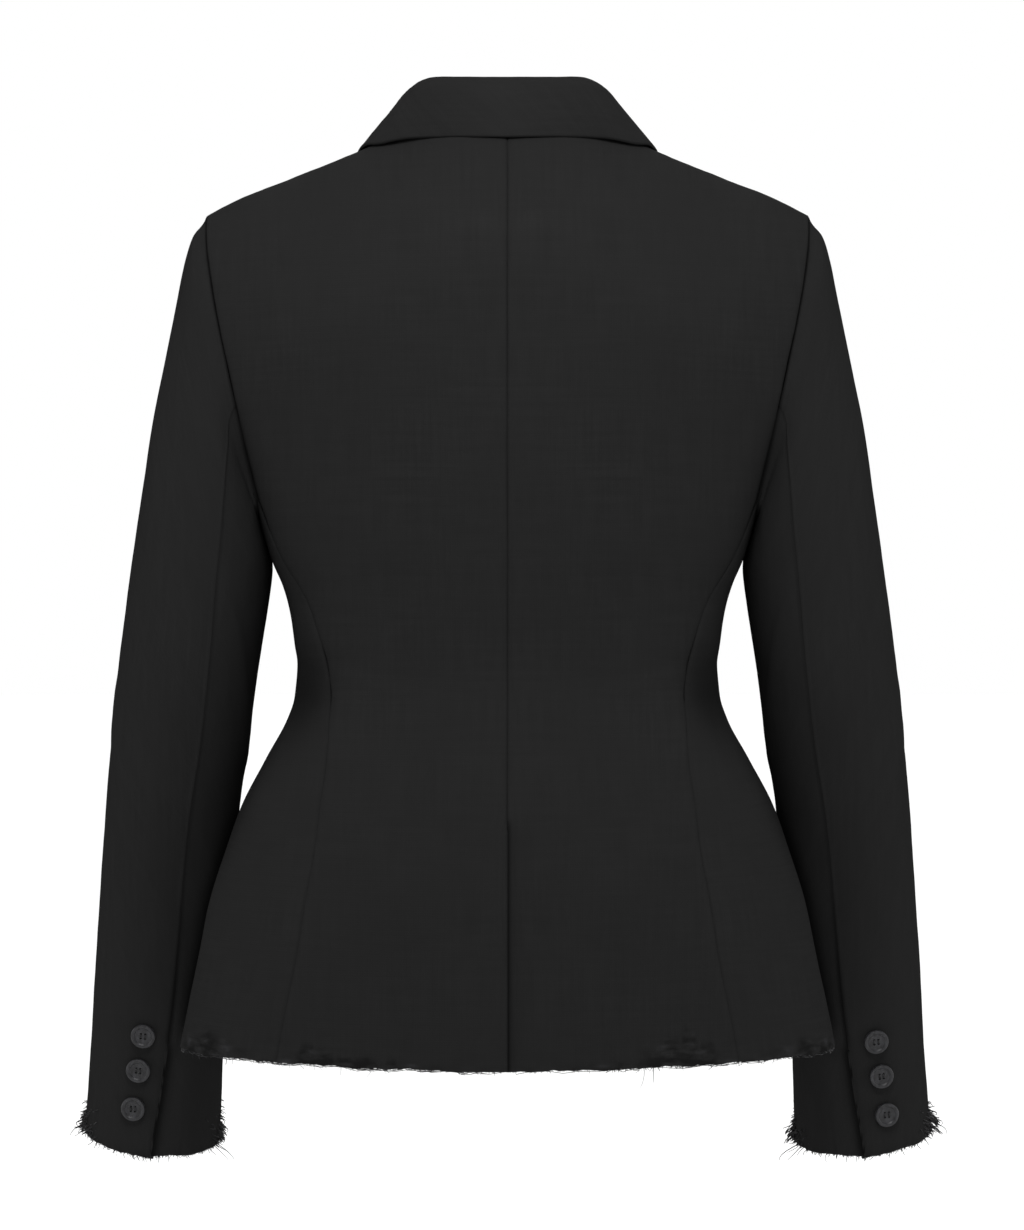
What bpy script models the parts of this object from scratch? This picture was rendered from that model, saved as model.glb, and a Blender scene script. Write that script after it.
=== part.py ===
"""Fitted jacket, kept in its worn hollow shape.

The back faces +Y, the front -Y, +Z is up and the wearer's left is +X.
The origin lies between the shoulders, at the height where the collar meets them.
Each cut piece is a wall of cloth, made from sections of the body and rings of the sleeve.
"""
import math

import bmesh
import bpy
import numpy as np
from mathutils import Vector

MM = 0.001

# Cloth and seams, in millimetres
CLOTH = 2.0
SEAM_GAP = 0.34
ARMHOLE_GAP = 0.5

# Heights and half widths of the cut, in millimetres
NECK_X = 75.0
SHOULDER_X = 195.0
NECK_BACK_Z = 7.0
BACK_JOINT_Z = -226.0
FRONT_JOINT_Z = -222.0
UNDERARM_Z = -237.0
BACK_SQUARE = 2.3
FRONT_SQUARE = 2.2
BACK_REACH = 130.0
FRONT_REACH = 170.0

# Bust cup of each front
BUST_X = 78.0
BUST_Z = -222.0
BUST_WIDE = 52.0
BUST_TALL = 66.0
BUST_RISE = 14.0

# Vent at the centre back and lap of the fronts
VENT_TOP_Z = -430.0
VENT_LAP = 40.0
VENT_DROP = 3.4
VENT_LIFT = 0.5
FRONT_LAP = 17.0
FRONT_LIFT = 3.4
LIFT_FULL_X = 18.0
LIFT_END_X = 70.0
BREAK_Z = -300.0
BREAK_LIFT = 4.2
BREAK_LIFT_FROM_Z = -350.0
BREAK_LIFT_TO_Z = -312.0

# Collar and lapels
COLLAR_BULGE = 1.8
FOLD_SHARE = 0.16
FOLD_INWARD = 3.2
FOLD_RISE = 1.2
STAND_CLOTH = 1.6
STAND_INWARD = 5.8
STAND_BELOW = 1.6
STAND_END = 6.2
NECK_MIDDLE_Y = -10.0
LAPEL_TOP_Z = -9.0
LAPEL_GAP = 0.7
LAPEL_ROLL = 2.2

# Cuff vent
CUFF_VENT_ROWS = 3
CUFF_LAP_ANGLE = 26.0
CUFF_DROP = 2.7

# Buttons
BUTTON_RADIUS = 8.0
BUTTON_HEIGHT = 3.2
BUTTON_SIDES = 16
BUTTON_GAP = 0.4
HOLE_REACH = 2.1
HOLE_HALF = 0.75

# Frayed edges
FRAY_HEIGHT = 2.4
FRAY_THICK = 1.2
FRAY_GAP = 0.4
STRAND_APART = 2.6
STRAND_WIDE = 0.8
STRAND_TIP = 0.3


def table(names, *rows):
    """Short table of sizes whose columns are called by name; the first column is the place along it."""
    values = np.array(rows, dtype=float)
    return {name: values[:, i] for i, name in enumerate(names.split())}


def along(sizes, name, place):
    """Smooth value of one column at a place between the rows."""
    keys = sizes["at"]
    values = sizes[name]
    slopes = np.gradient(values, keys)
    place = min(max(place, keys[0]), keys[-1])
    i = int(min(max(np.searchsorted(keys, place) - 1, 0), len(keys) - 2))
    span = keys[i + 1] - keys[i]
    t = (place - keys[i]) / span
    start = (1 + 2 * t) * (1 - t) ** 2 * values[i] + t * (1 - t) ** 2 * span * slopes[i]
    end = t * t * (3 - 2 * t) * values[i + 1] + t * t * (t - 1) * span * slopes[i + 1]
    return float(start + end)


def ease(low, high, value):
    """Soft step from 0 at low to 1 at high."""
    t = min(max((value - low) / (high - low), 0.0), 1.0)
    return t * t * (3 - 2 * t)


# Body sections by height: half widths of the back and front quarters, and depths behind and before
BODY = table(
    "at back_half front_half back_depth front_depth",
    (-600, 214, 214, 137, 124),
    (-554, 205, 205, 134, 121),
    (-523, 198.5, 198.5, 131, 118),
    (-483, 190, 190, 127, 113),
    (-454, 180.5, 180.5, 121, 109),
    (-421, 168.5, 168.5, 111, 103),
    (-395, 155, 155, 100, 98),
    (-369, 141, 141, 91, 95),
    (-343, 135, 135, 86, 94),
    (-317, 136.5, 136.5, 87.5, 98),
    (-291, 141, 141, 92, 105),
    (-265, 151, 151, 97, 112),
    (-236, 160, 160, 102, 116),
    (-200, 171, 168, 107, 118),
    (-158, 186, 180, 111, 116),
    (-110, 199, 196, 113, 110),
    (-62, 214, 214, 112, 104),
    (0, 235, 235, 110, 98),
    (45, 250, 250, 108, 92),
)

# Shoulder seam: height over the half width
SHOULDER = table(
    "at z",
    (-35, 31),
    (0, 37),
    (35, 31),
    (75, 9.4),
    (98, -0.6),
    (143, -19),
    (175, -31.6),
    (195, -42),
)

# Seams of the side panel: share of the half width where each runs
SIDE_SEAMS = table(
    "at back front",
    (-600, 0.69, 0.80),
    (-554, 0.68, 0.80),
    (-523, 0.67, 0.80),
    (-472, 0.667, 0.80),
    (-439, 0.68, 0.805),
    (-399, 0.73, 0.82),
    (-365, 0.805, 0.84),
    (-343, 0.835, 0.85),
    (-294, 0.90, 0.875),
    (-260, 0.955, 0.915),
    (-222, 0.986, 0.955),
)

# Armhole: half width of its back and front edges by height
ARMHOLE = table(
    "at back front",
    (-226, 160.6, 155.6),
    (-212, 164, 157),
    (-192, 168.5, 159.5),
    (-158, 175.5, 165.5),
    (-138, 179.5, 169.5),
    (-110, 185.5, 177),
    (-86, 190, 184),
    (-62, 193.6, 190),
    (-42, 195, 195),
)

# Hem: height by share of the way round from the centre back to the centre front
HEM = table(
    "at z",
    (0.0, -581),
    (0.25, -580),
    (0.4, -578),
    (0.55, -574.5),
    (0.75, -577),
    (1.0, -582),
)

# Sleeve rings: outer and inner points of each ring, middle, half depth and slant of the ring
SLEEVE = table(
    "at outer_x outer_z inner_x inner_z mid_y depth slant fade",
    (0, 195.5, -42, 160.4, -237, -2, 50, 0, 1.0),
    (1, 204, -53, 161, -240, -4, 51, 0, 0.86),
    (2, 210, -70, 160.8, -243, -6.5, 51, 0, 0.66),
    (3, 215.5, -97, 158.6, -247, -8.5, 51.5, 0, 0.45),
    (4, 221.5, -126, 156.8, -253, -10.5, 52.5, 0, 0.28),
    (5, 229.5, -166, 154.6, -261, -12.5, 53, 0, 0.14),
    (6, 236.5, -208, 153.8, -273, -14, 53.5, 0.01, 0.06),
    (7, 243, -250, 156, -291, -16.5, 53, 0.03, 0.02),
    (8, 249, -292, 160, -316, -20.5, 52, 0.05, 0),
    (9, 255, -335, 165, -347, -27, 51.5, 0.08, 0),
    (10, 260, -379, 170, -385, -36, 49, 0.11, 0),
    (11, 264.5, -422, 176.5, -425, -45, 46.5, 0.13, 0),
    (12, 268.5, -465, 180.5, -467, -57, 44.5, 0.15, 0),
    (13, 272, -508, 184.5, -510, -69, 42.5, 0.18, 0),
    (14, 275.7, -551, 188, -553, -80, 41, 0.21, 0),
    (15, 278.7, -589, 190.5, -592, -89, 39.5, 0.24, 0),
    (16, 281, -616, 191.7, -621, -94.5, 38.7, 0.27, 0),
    (17, 283.5, -641, 193, -648, -99, 38.2, 0.3, 0),
)

# Angles of the two sleeve seams round each ring, from the outer point towards the back
SLEEVE_SEAMS = table(
    "at back front",
    (0, 104, 240),
    (7, 105, 238),
    (9, 109, 236),
    (12, 105, 235),
    (14, 102.5, 235),
    (15, 99, 235),
    (17, 91.5, 235),
)

# Collar by section from the centre back to its front end: fold line, outer edge and foot of the stand
COLLAR = table(
    "at roll_x roll_y roll_z edge_x edge_y edge_z foot_x foot_y foot_z",
    (-1, -31.5, 48.5, 44.2, -36, 54.8, 4.2, -30, 45.6, 8.2),
    (0, 0, 53, 44, 0, 66.3, 3.2, 0, 54, 8),
    (1, 31.5, 48.5, 44.2, 36, 54.8, 4.2, 30, 45.6, 8.2),
    (2, 52.5, 36, 45.2, 65, 34.5, 5.1, 52, 27.7, 8.6),
    (3, 61, 20, 42.3, 83.5, 19.5, 3.6, 66, 12.6, 9.4),
    (4, 64, 4, 35, 94.8, 4, 3.8, 71.5, 1, 10.5),
    (5, 65.5, -10, 25, 101, -15, -5.5, 70.5, -9, 7),
    (6, 66.5, -23, 12, 105, -34, -22.5, 69, -20, 1.5),
    (7, 67.5, -36, -3, 104, -54, -38, 66.5, -29, -7),
)

# Lapel: its outer edge by share of the way up the fold line
LAPEL = table(
    "at edge_x edge_z",
    (0, -11, -296),
    (0.25, 36, -232),
    (0.5, 75, -168),
    (0.75, 104, -112),
    (0.9, 117, -82),
    (1.0, 122, -68),
)

# Front buttons on the centre front, by height
FRONT_BUTTON_Z = (-318.0, -378.0, -438.0)

# Cuff buttons of the left and right sleeve: ring and angle on the sleeve
LEFT_CUFF_BUTTONS = ((14.43, 82.1), (15.06, 79.6), (15.98, 77.0))
RIGHT_CUFF_BUTTONS = ((14.53, 79.1), (15.19, 76.2), (16.14, 73.4))

# Tufts of the frayed edges: where along the edge, spread, strands, length and how far they flare out
HEM_LEFT = table(
    "at spread strands length flare",
    (0.03, 0.02, 3, 2, 0.1),
    (0.135, 0.02, 4, 2, 0.2),
    (0.23, 0.03, 6, 2, 0.2),
    (0.32, 0.03, 3, 2, 0.2),
    (0.42, 0.05, 8, 2.5, 0.3),
    (0.6, 0.06, 4, 2, 0.2),
    (0.8, 0.08, 4, 2, 0.2),
    (0.95, 0.03, 3, 2, 0.2),
)
HEM_RIGHT = table(
    "at spread strands length flare",
    (0.03, 0.02, 3, 2, 0.1),
    (0.1, 0.02, 3, 2, 0.2),
    (0.165, 0.02, 4, 11, 0.15),
    (0.22, 0.03, 7, 2.5, 0.3),
    (0.32, 0.03, 3, 2, 0.2),
    (0.45, 0.05, 8, 2.5, 0.3),
    (0.62, 0.06, 4, 2, 0.2),
    (0.8, 0.08, 4, 2, 0.2),
)
CUFF = table(
    "at spread strands length flare",
    (0.0, 0.05, 7, 13, 1.1),
    (0.17, 0.07, 5, 5, 0.5),
    (0.35, 0.06, 5, 4, 0.4),
    (0.5, 0.05, 7, 15, 1.4),
    (0.68, 0.07, 5, 6, 0.6),
    (0.85, 0.06, 5, 6, 0.6),
)

# Rows up the body and columns across each panel
LOW_ROWS = np.linspace(0.0, 1.0, 16)
HIGH_ROWS = np.array([0.16, 0.32, 0.48, 0.62, 0.74, 0.84, 0.92, 0.97, 1.0])
NECK_COLUMNS = 3
SHOULDER_COLUMNS = 7
SIDE_COLUMNS = 5
BACK_SEAM_STEP = 7
UNDER_COLUMNS = 9
COLLAR_STEPS = 13
STAND_STEPS = 11
FALL_SHARES = (1, 0.78, 0.56, 0.36, 0.2, 0.1, 0.04, 0)
LAPEL_ROWS = 13
LAPEL_COLUMNS = 5


def rise(drop, reach):
    """How far the cloth has turned from the shoulder seam, 0 at the seam and 1 where it hangs."""
    share = min(max(drop / reach, 0.0), 1.0)
    return math.sin(0.5 * math.pi * share ** 0.75)


def back_y(x, z):
    """Depth of the back at a half width and height."""
    share = min(abs(x) / along(BODY, "back_half", z), 1.0)
    depth = along(BODY, "back_depth", z) * (1 - share ** BACK_SQUARE) ** (1 / BACK_SQUARE)
    return depth * rise(along(SHOULDER, "z", abs(x)) - z, BACK_REACH)


def front_y(x, z, lift=0.0):
    """Depth of the front, with its bust cup; the upper front is lifted where it laps the other."""
    share = min(abs(x) / along(BODY, "front_half", z), 1.0)
    depth = along(BODY, "front_depth", z) * (1 - share ** FRONT_SQUARE) ** (1 / FRONT_SQUARE)
    cup = math.exp(-((abs(x) - BUST_X) / BUST_WIDE) ** 2 - ((z - BUST_Z) / BUST_TALL) ** 2)
    depth = depth + BUST_RISE * cup * (1 - share ** 2)
    raised = FRONT_LIFT + BREAK_LIFT * ease(BREAK_LIFT_FROM_Z, BREAK_LIFT_TO_Z, z)
    raised = raised * lift * (1 - ease(LIFT_FULL_X, LIFT_END_X, x))
    return -depth * rise(along(SHOULDER, "z", abs(x)) - z, FRONT_REACH) - raised


def hem_z(share):
    """Height of the hem by share of the way round from the centre back."""
    return along(HEM, "z", share)


def neck_top(x):
    """Top edge of the back: the neckline, then the shoulder seam."""
    if x <= NECK_X:
        return NECK_BACK_Z + (along(SHOULDER, "z", NECK_X) - NECK_BACK_Z) * (x / NECK_X) ** 2
    return along(SHOULDER, "z", x)


def seam_share(name, z):
    """Share of the half width where a side-panel seam runs."""
    return along(SIDE_SEAMS, name, z)


def back_edge(row):
    """Half width and height of the back's outer edge: side seam, then armhole."""
    low = len(LOW_ROWS) - 1
    if row <= low:
        bottom = hem_z(0.4)
        z = bottom + (BACK_JOINT_Z - bottom) * LOW_ROWS[row]
        return seam_share("back", z) * along(BODY, "back_half", z), z
    z = BACK_JOINT_Z + (along(SHOULDER, "z", SHOULDER_X) - BACK_JOINT_Z) * HIGH_ROWS[row - low - 1]
    return along(ARMHOLE, "back", z), z


def front_edge(row):
    """Half width and height of the front's outer edge: side seam, then armhole."""
    low = len(LOW_ROWS) - 1
    if row <= low:
        bottom = hem_z(0.7)
        z = bottom + (FRONT_JOINT_Z - bottom) * LOW_ROWS[row]
        return seam_share("front", z) * along(BODY, "front_half", z), z
    z = FRONT_JOINT_Z + (along(SHOULDER, "z", SHOULDER_X) - FRONT_JOINT_Z) * HIGH_ROWS[row - low - 1]
    return along(ARMHOLE, "front", z), z


def fold_x(z):
    """Half width of the front's free edge: straight to the break, then the fold line of the lapel."""
    if z <= BREAK_Z:
        return -FRONT_LAP
    top = along(SHOULDER, "z", NECK_X)
    return -FRONT_LAP + (NECK_X + FRONT_LAP) * (z - BREAK_Z) / (top - BREAK_Z)


def row_height(row, bottom, joint, top):
    """Height of one row on a line from the hem through the joint to the top edge."""
    low = len(LOW_ROWS) - 1
    if row <= low:
        return bottom + (joint - bottom) * LOW_ROWS[row]
    return joint + (top - joint) * HIGH_ROWS[row - low - 1]


ROWS = len(LOW_ROWS) + len(HIGH_ROWS)


def back_grid(side):
    """Rows and columns of one back panel, from the centre back seam to the side seam and armhole."""
    neck_share = NECK_X / SHOULDER_X
    shares = list(np.linspace(0, neck_share, NECK_COLUMNS + 1))
    shares += list(np.linspace(neck_share, 1, SHOULDER_COLUMNS + 1)[1:])
    grid = []
    for row in range(ROWS):
        edge_x, edge_z = back_edge(row)
        line = []
        for share in shares:
            top = neck_top(share * SHOULDER_X)
            z = row_height(row, hem_z(0.4 * share), BACK_JOINT_Z, top)
            if share == 1:
                z = edge_z
            x = share * edge_x
            y = back_y(x, z)
            if share == 0 and z < VENT_TOP_Z:
                y = y + (VENT_LIFT if side > 0 else -VENT_DROP)
            line.append((side * x, y, z))
        grid.append(line)
    return grid


def vent_grid(side):
    """Underlap of the back vent, from its free edge to the centre back line."""
    grid = []
    for row in range(ROWS):
        z = row_height(row, hem_z(0), BACK_JOINT_Z, neck_top(0))
        if z >= VENT_TOP_Z:
            break
        line = []
        for lap in np.linspace(VENT_LAP, 0, 4):
            line.append((-side * lap, back_y(lap, z) - VENT_DROP, z))
        grid.append(line)
    return grid


def side_grid(side):
    """Rows and columns of one side panel, from the back seam to the front seam."""
    grid = []
    for row in range(len(LOW_ROWS)):
        line = []
        for column in range(SIDE_COLUMNS + 1):
            share = column / SIDE_COLUMNS
            bottom = hem_z(0.4 + 0.3 * share)
            top = BACK_JOINT_Z + (FRONT_JOINT_Z - BACK_JOINT_Z) * share
            low_point = UNDERARM_Z - 0.5 * (BACK_JOINT_Z + FRONT_JOINT_Z)
            top = top + low_point * 4 * share * (1 - share)
            z = bottom + (top - bottom) * LOW_ROWS[row]
            start = math.asin(seam_share("back", z) ** (BACK_SQUARE / 2))
            end = math.pi - math.asin(seam_share("front", z) ** (FRONT_SQUARE / 2))
            turn = start + (end - start) * share
            if turn <= math.pi / 2:
                x = along(BODY, "back_half", z) * math.sin(turn) ** (2 / BACK_SQUARE)
                y = back_y(x, z)
            else:
                x = along(BODY, "front_half", z) * math.sin(turn) ** (2 / FRONT_SQUARE)
                y = front_y(x, z)
            line.append((side * x, y, z))
        grid.append(line)
    return grid


def front_grid(side):
    """Rows and columns of one front, from the side seam and armhole to its free edge and fold line."""
    lift = 1.0 if side < 0 else 0.0
    grid = []
    for row in range(ROWS):
        edge_x, edge_z = front_edge(row)
        free_z = row_height(row, hem_z(1), FRONT_JOINT_Z, along(SHOULDER, "z", NECK_X))
        line = []
        for column in range(SHOULDER_COLUMNS + 1):
            share = column / SHOULDER_COLUMNS
            top = along(SHOULDER, "z", SHOULDER_X + (NECK_X - SHOULDER_X) * share)
            z = row_height(row, hem_z(0.7 + 0.3 * share), FRONT_JOINT_Z, top)
            x = edge_x + (fold_x(free_z) - edge_x) * share
            line.append((side * x, front_y(x, z, lift), z))
        grid.append(line)
    return grid


def ring_point(ring, angle):
    """Point on one plain sleeve ring, at an angle from its outer point towards the back."""
    c = math.cos(math.radians(angle))
    s = math.sin(math.radians(angle))
    c = math.copysign(abs(c) ** 0.93, c)
    s = math.copysign(abs(s) ** 0.93, s)
    outer_x = along(SLEEVE, "outer_x", ring)
    outer_z = along(SLEEVE, "outer_z", ring)
    inner_x = along(SLEEVE, "inner_x", ring)
    inner_z = along(SLEEVE, "inner_z", ring)
    x = 0.5 * (outer_x + inner_x) + 0.5 * (outer_x - inner_x) * c
    z = 0.5 * (outer_z + inner_z) + 0.5 * (outer_z - inner_z) * c
    away = along(SLEEVE, "depth", ring) * s
    return np.array((x, along(SLEEVE, "mid_y", ring) + away, z - along(SLEEVE, "slant", ring) * away))


def armhole_points():
    """Armhole of the left side from the shoulder round the back, underarm and front."""
    low = len(LOW_ROWS) - 1
    back = back_grid(1)
    side = side_grid(1)
    front = front_grid(1)
    points = [back[row][-1] for row in range(ROWS - 1, low, -1)]
    points += side[low]
    points += [front[row][0] for row in range(low + 1, ROWS - 1)]
    return [np.array(p) + np.array((ARMHOLE_GAP, 0, 0)) for p in points]


ARMHOLE_RING = armhole_points()
RING_STEPS = len(ARMHOLE_RING)


def plain_angle(point):
    """Angle of an armhole point as seen from the middle of the first ring."""
    outer = ring_point(0, 0)
    inner = ring_point(0, 180)
    axis = 0.5 * (outer - inner)
    middle = 0.5 * (outer + inner)
    c = float(np.dot(point - middle, axis) / np.dot(axis, axis))
    s = float((point[1] - middle[1]) / along(SLEEVE, "depth", 0))
    return math.degrees(math.atan2(s, c)) % 360


def sleeve_point(ring, step):
    """Point of the sleeve on a ring, for a step round the armhole."""
    front_step = BACK_SEAM_STEP + UNDER_COLUMNS
    back = along(SLEEVE_SEAMS, "back", ring)
    front = along(SLEEVE_SEAMS, "front", ring)
    if BACK_SEAM_STEP <= step <= front_step:
        even = back + (front - back) * (step - BACK_SEAM_STEP) / UNDER_COLUMNS
    else:
        turned = step if step < BACK_SEAM_STEP else step - RING_STEPS
        start = front_step - RING_STEPS
        even = front - 360 + (back - front + 360) * (turned - start) / (BACK_SEAM_STEP - start)
    seat = ARMHOLE_RING[step % RING_STEPS]
    own = plain_angle(seat)
    own = own - 360 if own - even > 180 else own
    own = own + 360 if even - own > 180 else own
    fade = along(SLEEVE, "fade", ring)
    angle = even + (own - even) * fade
    return ring_point(ring, angle) + (seat - ring_point(0, own)) * fade


def sleeve_angle(ring, angle, inward=0.0):
    """Point at an angle on a lower ring of the sleeve, moved in from its surface."""
    point = ring_point(ring, angle)
    middle = 0.5 * (ring_point(ring, 0) + ring_point(ring, 180))
    toward = middle - point
    return point + toward / np.linalg.norm(toward) * inward


SLEEVE_RINGS = len(SLEEVE["at"])


def top_sleeve_grid(side):
    """Rings and columns of the top sleeve, from the front seam over the outside to the back seam."""
    start = BACK_SEAM_STEP + UNDER_COLUMNS - RING_STEPS
    grid = []
    for ring in range(SLEEVE_RINGS):
        line = []
        for step in range(start, BACK_SEAM_STEP + 1):
            x, y, z = sleeve_point(ring, step % RING_STEPS if step < 0 else step)
            line.append((side * x, y, z))
        grid.append(line)
    return grid


def under_sleeve_grid(side):
    """Rings and columns of the under sleeve, from the back seam round the inside to the front seam."""
    grid = []
    for ring in range(SLEEVE_RINGS):
        line = []
        for step in range(BACK_SEAM_STEP, BACK_SEAM_STEP + UNDER_COLUMNS + 1):
            x, y, z = sleeve_point(ring, step)
            if step == BACK_SEAM_STEP and ring >= SLEEVE_RINGS - CUFF_VENT_ROWS:
                x, y, z = sleeve_angle(ring, along(SLEEVE_SEAMS, "back", ring), CUFF_DROP)
            line.append((side * x, y, z))
        grid.append(line)
    return grid


def cuff_lap_grid(side):
    """Underlap of the cuff vent, beneath the top sleeve."""
    grid = []
    for ring in range(SLEEVE_RINGS - CUFF_VENT_ROWS, SLEEVE_RINGS):
        line = []
        for share in (1.0, 0.5, 0.0):
            angle = along(SLEEVE_SEAMS, "back", ring) - CUFF_LAP_ANGLE * share
            x, y, z = sleeve_angle(ring, angle, CUFF_DROP)
            line.append((side * x, y, z))
        grid.append(line)
    return grid


def collar_section(place, share):
    """Point across the fall of the collar, from inside the fold over it and out to the edge."""
    roll = np.array([along(COLLAR, "roll_" + axis, place) for axis in "xyz"])
    edge = np.array([along(COLLAR, "edge_" + axis, place) for axis in "xyz"])
    foot = np.array([along(COLLAR, "foot_" + axis, place) for axis in "xyz"])
    down = (edge - roll) / np.linalg.norm(edge - roll)
    out = (edge - foot) - np.dot(edge - foot, down) * down
    out = out / np.linalg.norm(out)
    bulge = COLLAR_BULGE * math.sin(math.pi * share ** 0.7)
    turn = max(1 - share / FOLD_SHARE, 0)
    point = edge + (roll - edge) * (1 - share) + out * (bulge - FOLD_INWARD * turn ** 1.5)
    return point - down * FOLD_RISE * turn * (1 - turn)


def stand_section(place, share):
    """Point up the stand of the collar, from its foot on the neckline to beneath the fold."""
    roll = np.array([along(COLLAR, "roll_" + axis, place) for axis in "xyz"])
    foot = np.array([along(COLLAR, "foot_" + axis, place) for axis in "xyz"])
    inward = np.array((-foot[0], NECK_MIDDLE_Y - foot[1], 0.0))
    inward = inward / np.linalg.norm(inward)
    top = roll + inward * STAND_INWARD - np.array((0, 0, STAND_BELOW))
    return foot + (top - foot) * share


def mirrored(section, steps, end, shares):
    """Rows across the collar from its right end round the back to its left end."""
    grid = []
    for share in shares:
        line = []
        for step in range(-steps, steps + 1):
            x, y, z = section(end * abs(step) / steps, share)
            line.append((math.copysign(x, step) if step else 0.0, y, z))
        grid.append(line)
    return grid


def lapel_grid(side):
    """Lapel lying on its front, from the break up the fold line and out to its edge."""
    lift = 1.0 if side < 0 else 0.0
    grid = []
    for row in range(LAPEL_ROWS + 1):
        share = row / LAPEL_ROWS
        fold_z = BREAK_Z + (LAPEL_TOP_Z - BREAK_Z) * share
        line = []
        for column in range(LAPEL_COLUMNS + 1):
            across = column / LAPEL_COLUMNS
            x = fold_x(fold_z) + (along(LAPEL, "edge_x", share) - fold_x(fold_z)) * across
            z = fold_z + (along(LAPEL, "edge_z", share) - fold_z) * across
            roll = LAPEL_ROLL * math.exp(-6 * across) * ease(0, 0.2, share)
            out = CLOTH + LAPEL_GAP + roll
            point = np.array((x, front_y(x, z, lift), z))
            along_x = np.array((1.0, front_y(x + 0.5, z, lift) - front_y(x - 0.5, z, lift), 0))
            along_z = np.array((0, front_y(x, z + 0.5, lift) - front_y(x, z - 0.5, lift), 1.0))
            normal = np.cross(along_x, along_z)
            point = point + normal / np.linalg.norm(normal) * out
            line.append((side * point[0], point[1], point[2]))
        grid.append(line)
    return [line[::-1] for line in grid]


def key(point):
    """Place of a point, rounded, so that neighbouring pieces find their shared points."""
    return tuple(int(round(c * 1000)) for c in point)


def sheet(grids, flip):
    """Points and faces of one piece of cloth from its grids."""
    points = []
    places = {}
    faces = []
    for grid in grids:
        names = []
        for line in grid:
            row = []
            for point in line:
                if key(point) not in places:
                    places[key(point)] = len(points)
                    points.append(np.array(point, dtype=float))
                row.append(places[key(point)])
            names.append(row)
        for r in range(len(names) - 1):
            for c in range(len(names[0]) - 1):
                face = [names[r][c], names[r + 1][c], names[r + 1][c + 1], names[r][c + 1]]
                faces.append(face[::-1] if flip else face)
    return points, faces


def shared_normals(sheets):
    """Outward direction at each point, averaged over all the pieces that meet there."""
    sums = {}
    for points, faces in sheets:
        for face in faces:
            corner = [points[i] for i in face]
            normal = np.cross(corner[2] - corner[0], corner[3] - corner[1])
            for point in corner:
                sums[key(point)] = sums.get(key(point), np.zeros(3)) + normal
    return {place: total / np.linalg.norm(total) for place, total in sums.items()}


def cloth_material(name, red, green, blue, rough):
    """Principled material of one piece."""
    material = bpy.data.materials.new(name)
    material.use_nodes = True
    shader = material.node_tree.nodes["Principled BSDF"]
    shader.inputs["Base Color"].default_value = (red, green, blue, 1)
    shader.inputs["Roughness"].default_value = rough
    shader.inputs["Metallic"].default_value = 0.0
    return material


def make_object(name, mesh_data, colour, rough):
    """Closed mesh in millimetres as a named object in metres."""
    for vertex in mesh_data.verts:
        vertex.co = vertex.co * MM
    bmesh.ops.recalc_face_normals(mesh_data, faces=mesh_data.faces)
    mesh = bpy.data.meshes.new(name)
    mesh_data.to_mesh(mesh)
    mesh_data.free()
    piece = bpy.data.objects.new(name, mesh)
    bpy.context.scene.collection.objects.link(piece)
    mesh.materials.append(cloth_material(name, colour[0], colour[1], colour[2], rough))
    return piece


WOOL = (0.0185, 0.0185, 0.0195)
THREAD = (0.012, 0.012, 0.0125)
HORN = (0.024, 0.024, 0.026)


def wall(name, piece_sheet, normals, thick=CLOTH, seat=()):
    """Wall of cloth: the outer sheet, a sheet set in from it and a rim, drawn back a little at its seams.

    Points in the seat lie on the armhole, where the wall isn't thickened towards the body.
    """
    points, faces = piece_sheet
    edges = {}
    for face in faces:
        for i in range(4):
            pair = (face[i], face[(i + 1) % 4])
            edges.setdefault(frozenset(pair), []).append((pair, face))
    rim = [items[0] for items in edges.values() if len(items) == 1]
    drawn = {}
    for (start, end), face in rim:
        run = points[end] - points[start]
        normal = normals[key(points[start])] + normals[key(points[end])]
        inward = np.cross(normal, run)
        middle = sum(points[i] for i in face) / 4 - 0.5 * (points[start] + points[end])
        inward = inward * math.copysign(1, np.dot(inward, middle))
        inward = inward / np.linalg.norm(inward)
        for i in (start, end):
            drawn.setdefault(i, []).append(inward)
    outer = []
    inner = []
    data = bmesh.new()
    for i, point in enumerate(points):
        shift = np.zeros(3)
        if i in drawn:
            shift = drawn[i][0] * 0.5 * SEAM_GAP
            if len(drawn[i]) > 1 and np.dot(drawn[i][0], drawn[i][1]) < 0.8:
                shift = (drawn[i][0] + drawn[i][1]) * 0.5 * SEAM_GAP
        depth = -normals[key(point)] * thick
        if key(point) in seat and depth[0] * point[0] < 0:
            depth[0] = 0.0
        outer.append(data.verts.new(Vector(point + shift)))
        inner.append(data.verts.new(Vector(point + shift + depth)))
    for face in faces:
        data.faces.new([outer[i] for i in face])
        data.faces.new([inner[i] for i in reversed(face)])
    for (start, end), face in rim:
        data.faces.new((outer[end], outer[start], inner[start], inner[end]))
    return make_object(name, data, WOOL, 0.9)


def surface_frame(point, right, up):
    """Axes of a small flat thing lying on a surface: across, up and outward."""
    out = np.cross(right - point, up - point)
    out = out / np.linalg.norm(out)
    rise_axis = up - point
    rise_axis = rise_axis - np.dot(rise_axis, out) * out
    rise_axis = rise_axis / np.linalg.norm(rise_axis)
    return np.cross(rise_axis, out), rise_axis, out


BUTTON_PROFILE = table(
    "at radius height",
    (0, BUTTON_RADIUS - 1.4, 0),
    (1, BUTTON_RADIUS, 1.0),
    (2, BUTTON_RADIUS, BUTTON_HEIGHT - 0.9),
    (3, BUTTON_RADIUS - 0.6, BUTTON_HEIGHT),
    (4, BUTTON_RADIUS - 1.7, BUTTON_HEIGHT),
    (5, BUTTON_RADIUS - 2.5, BUTTON_HEIGHT - 0.9),
)


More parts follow.
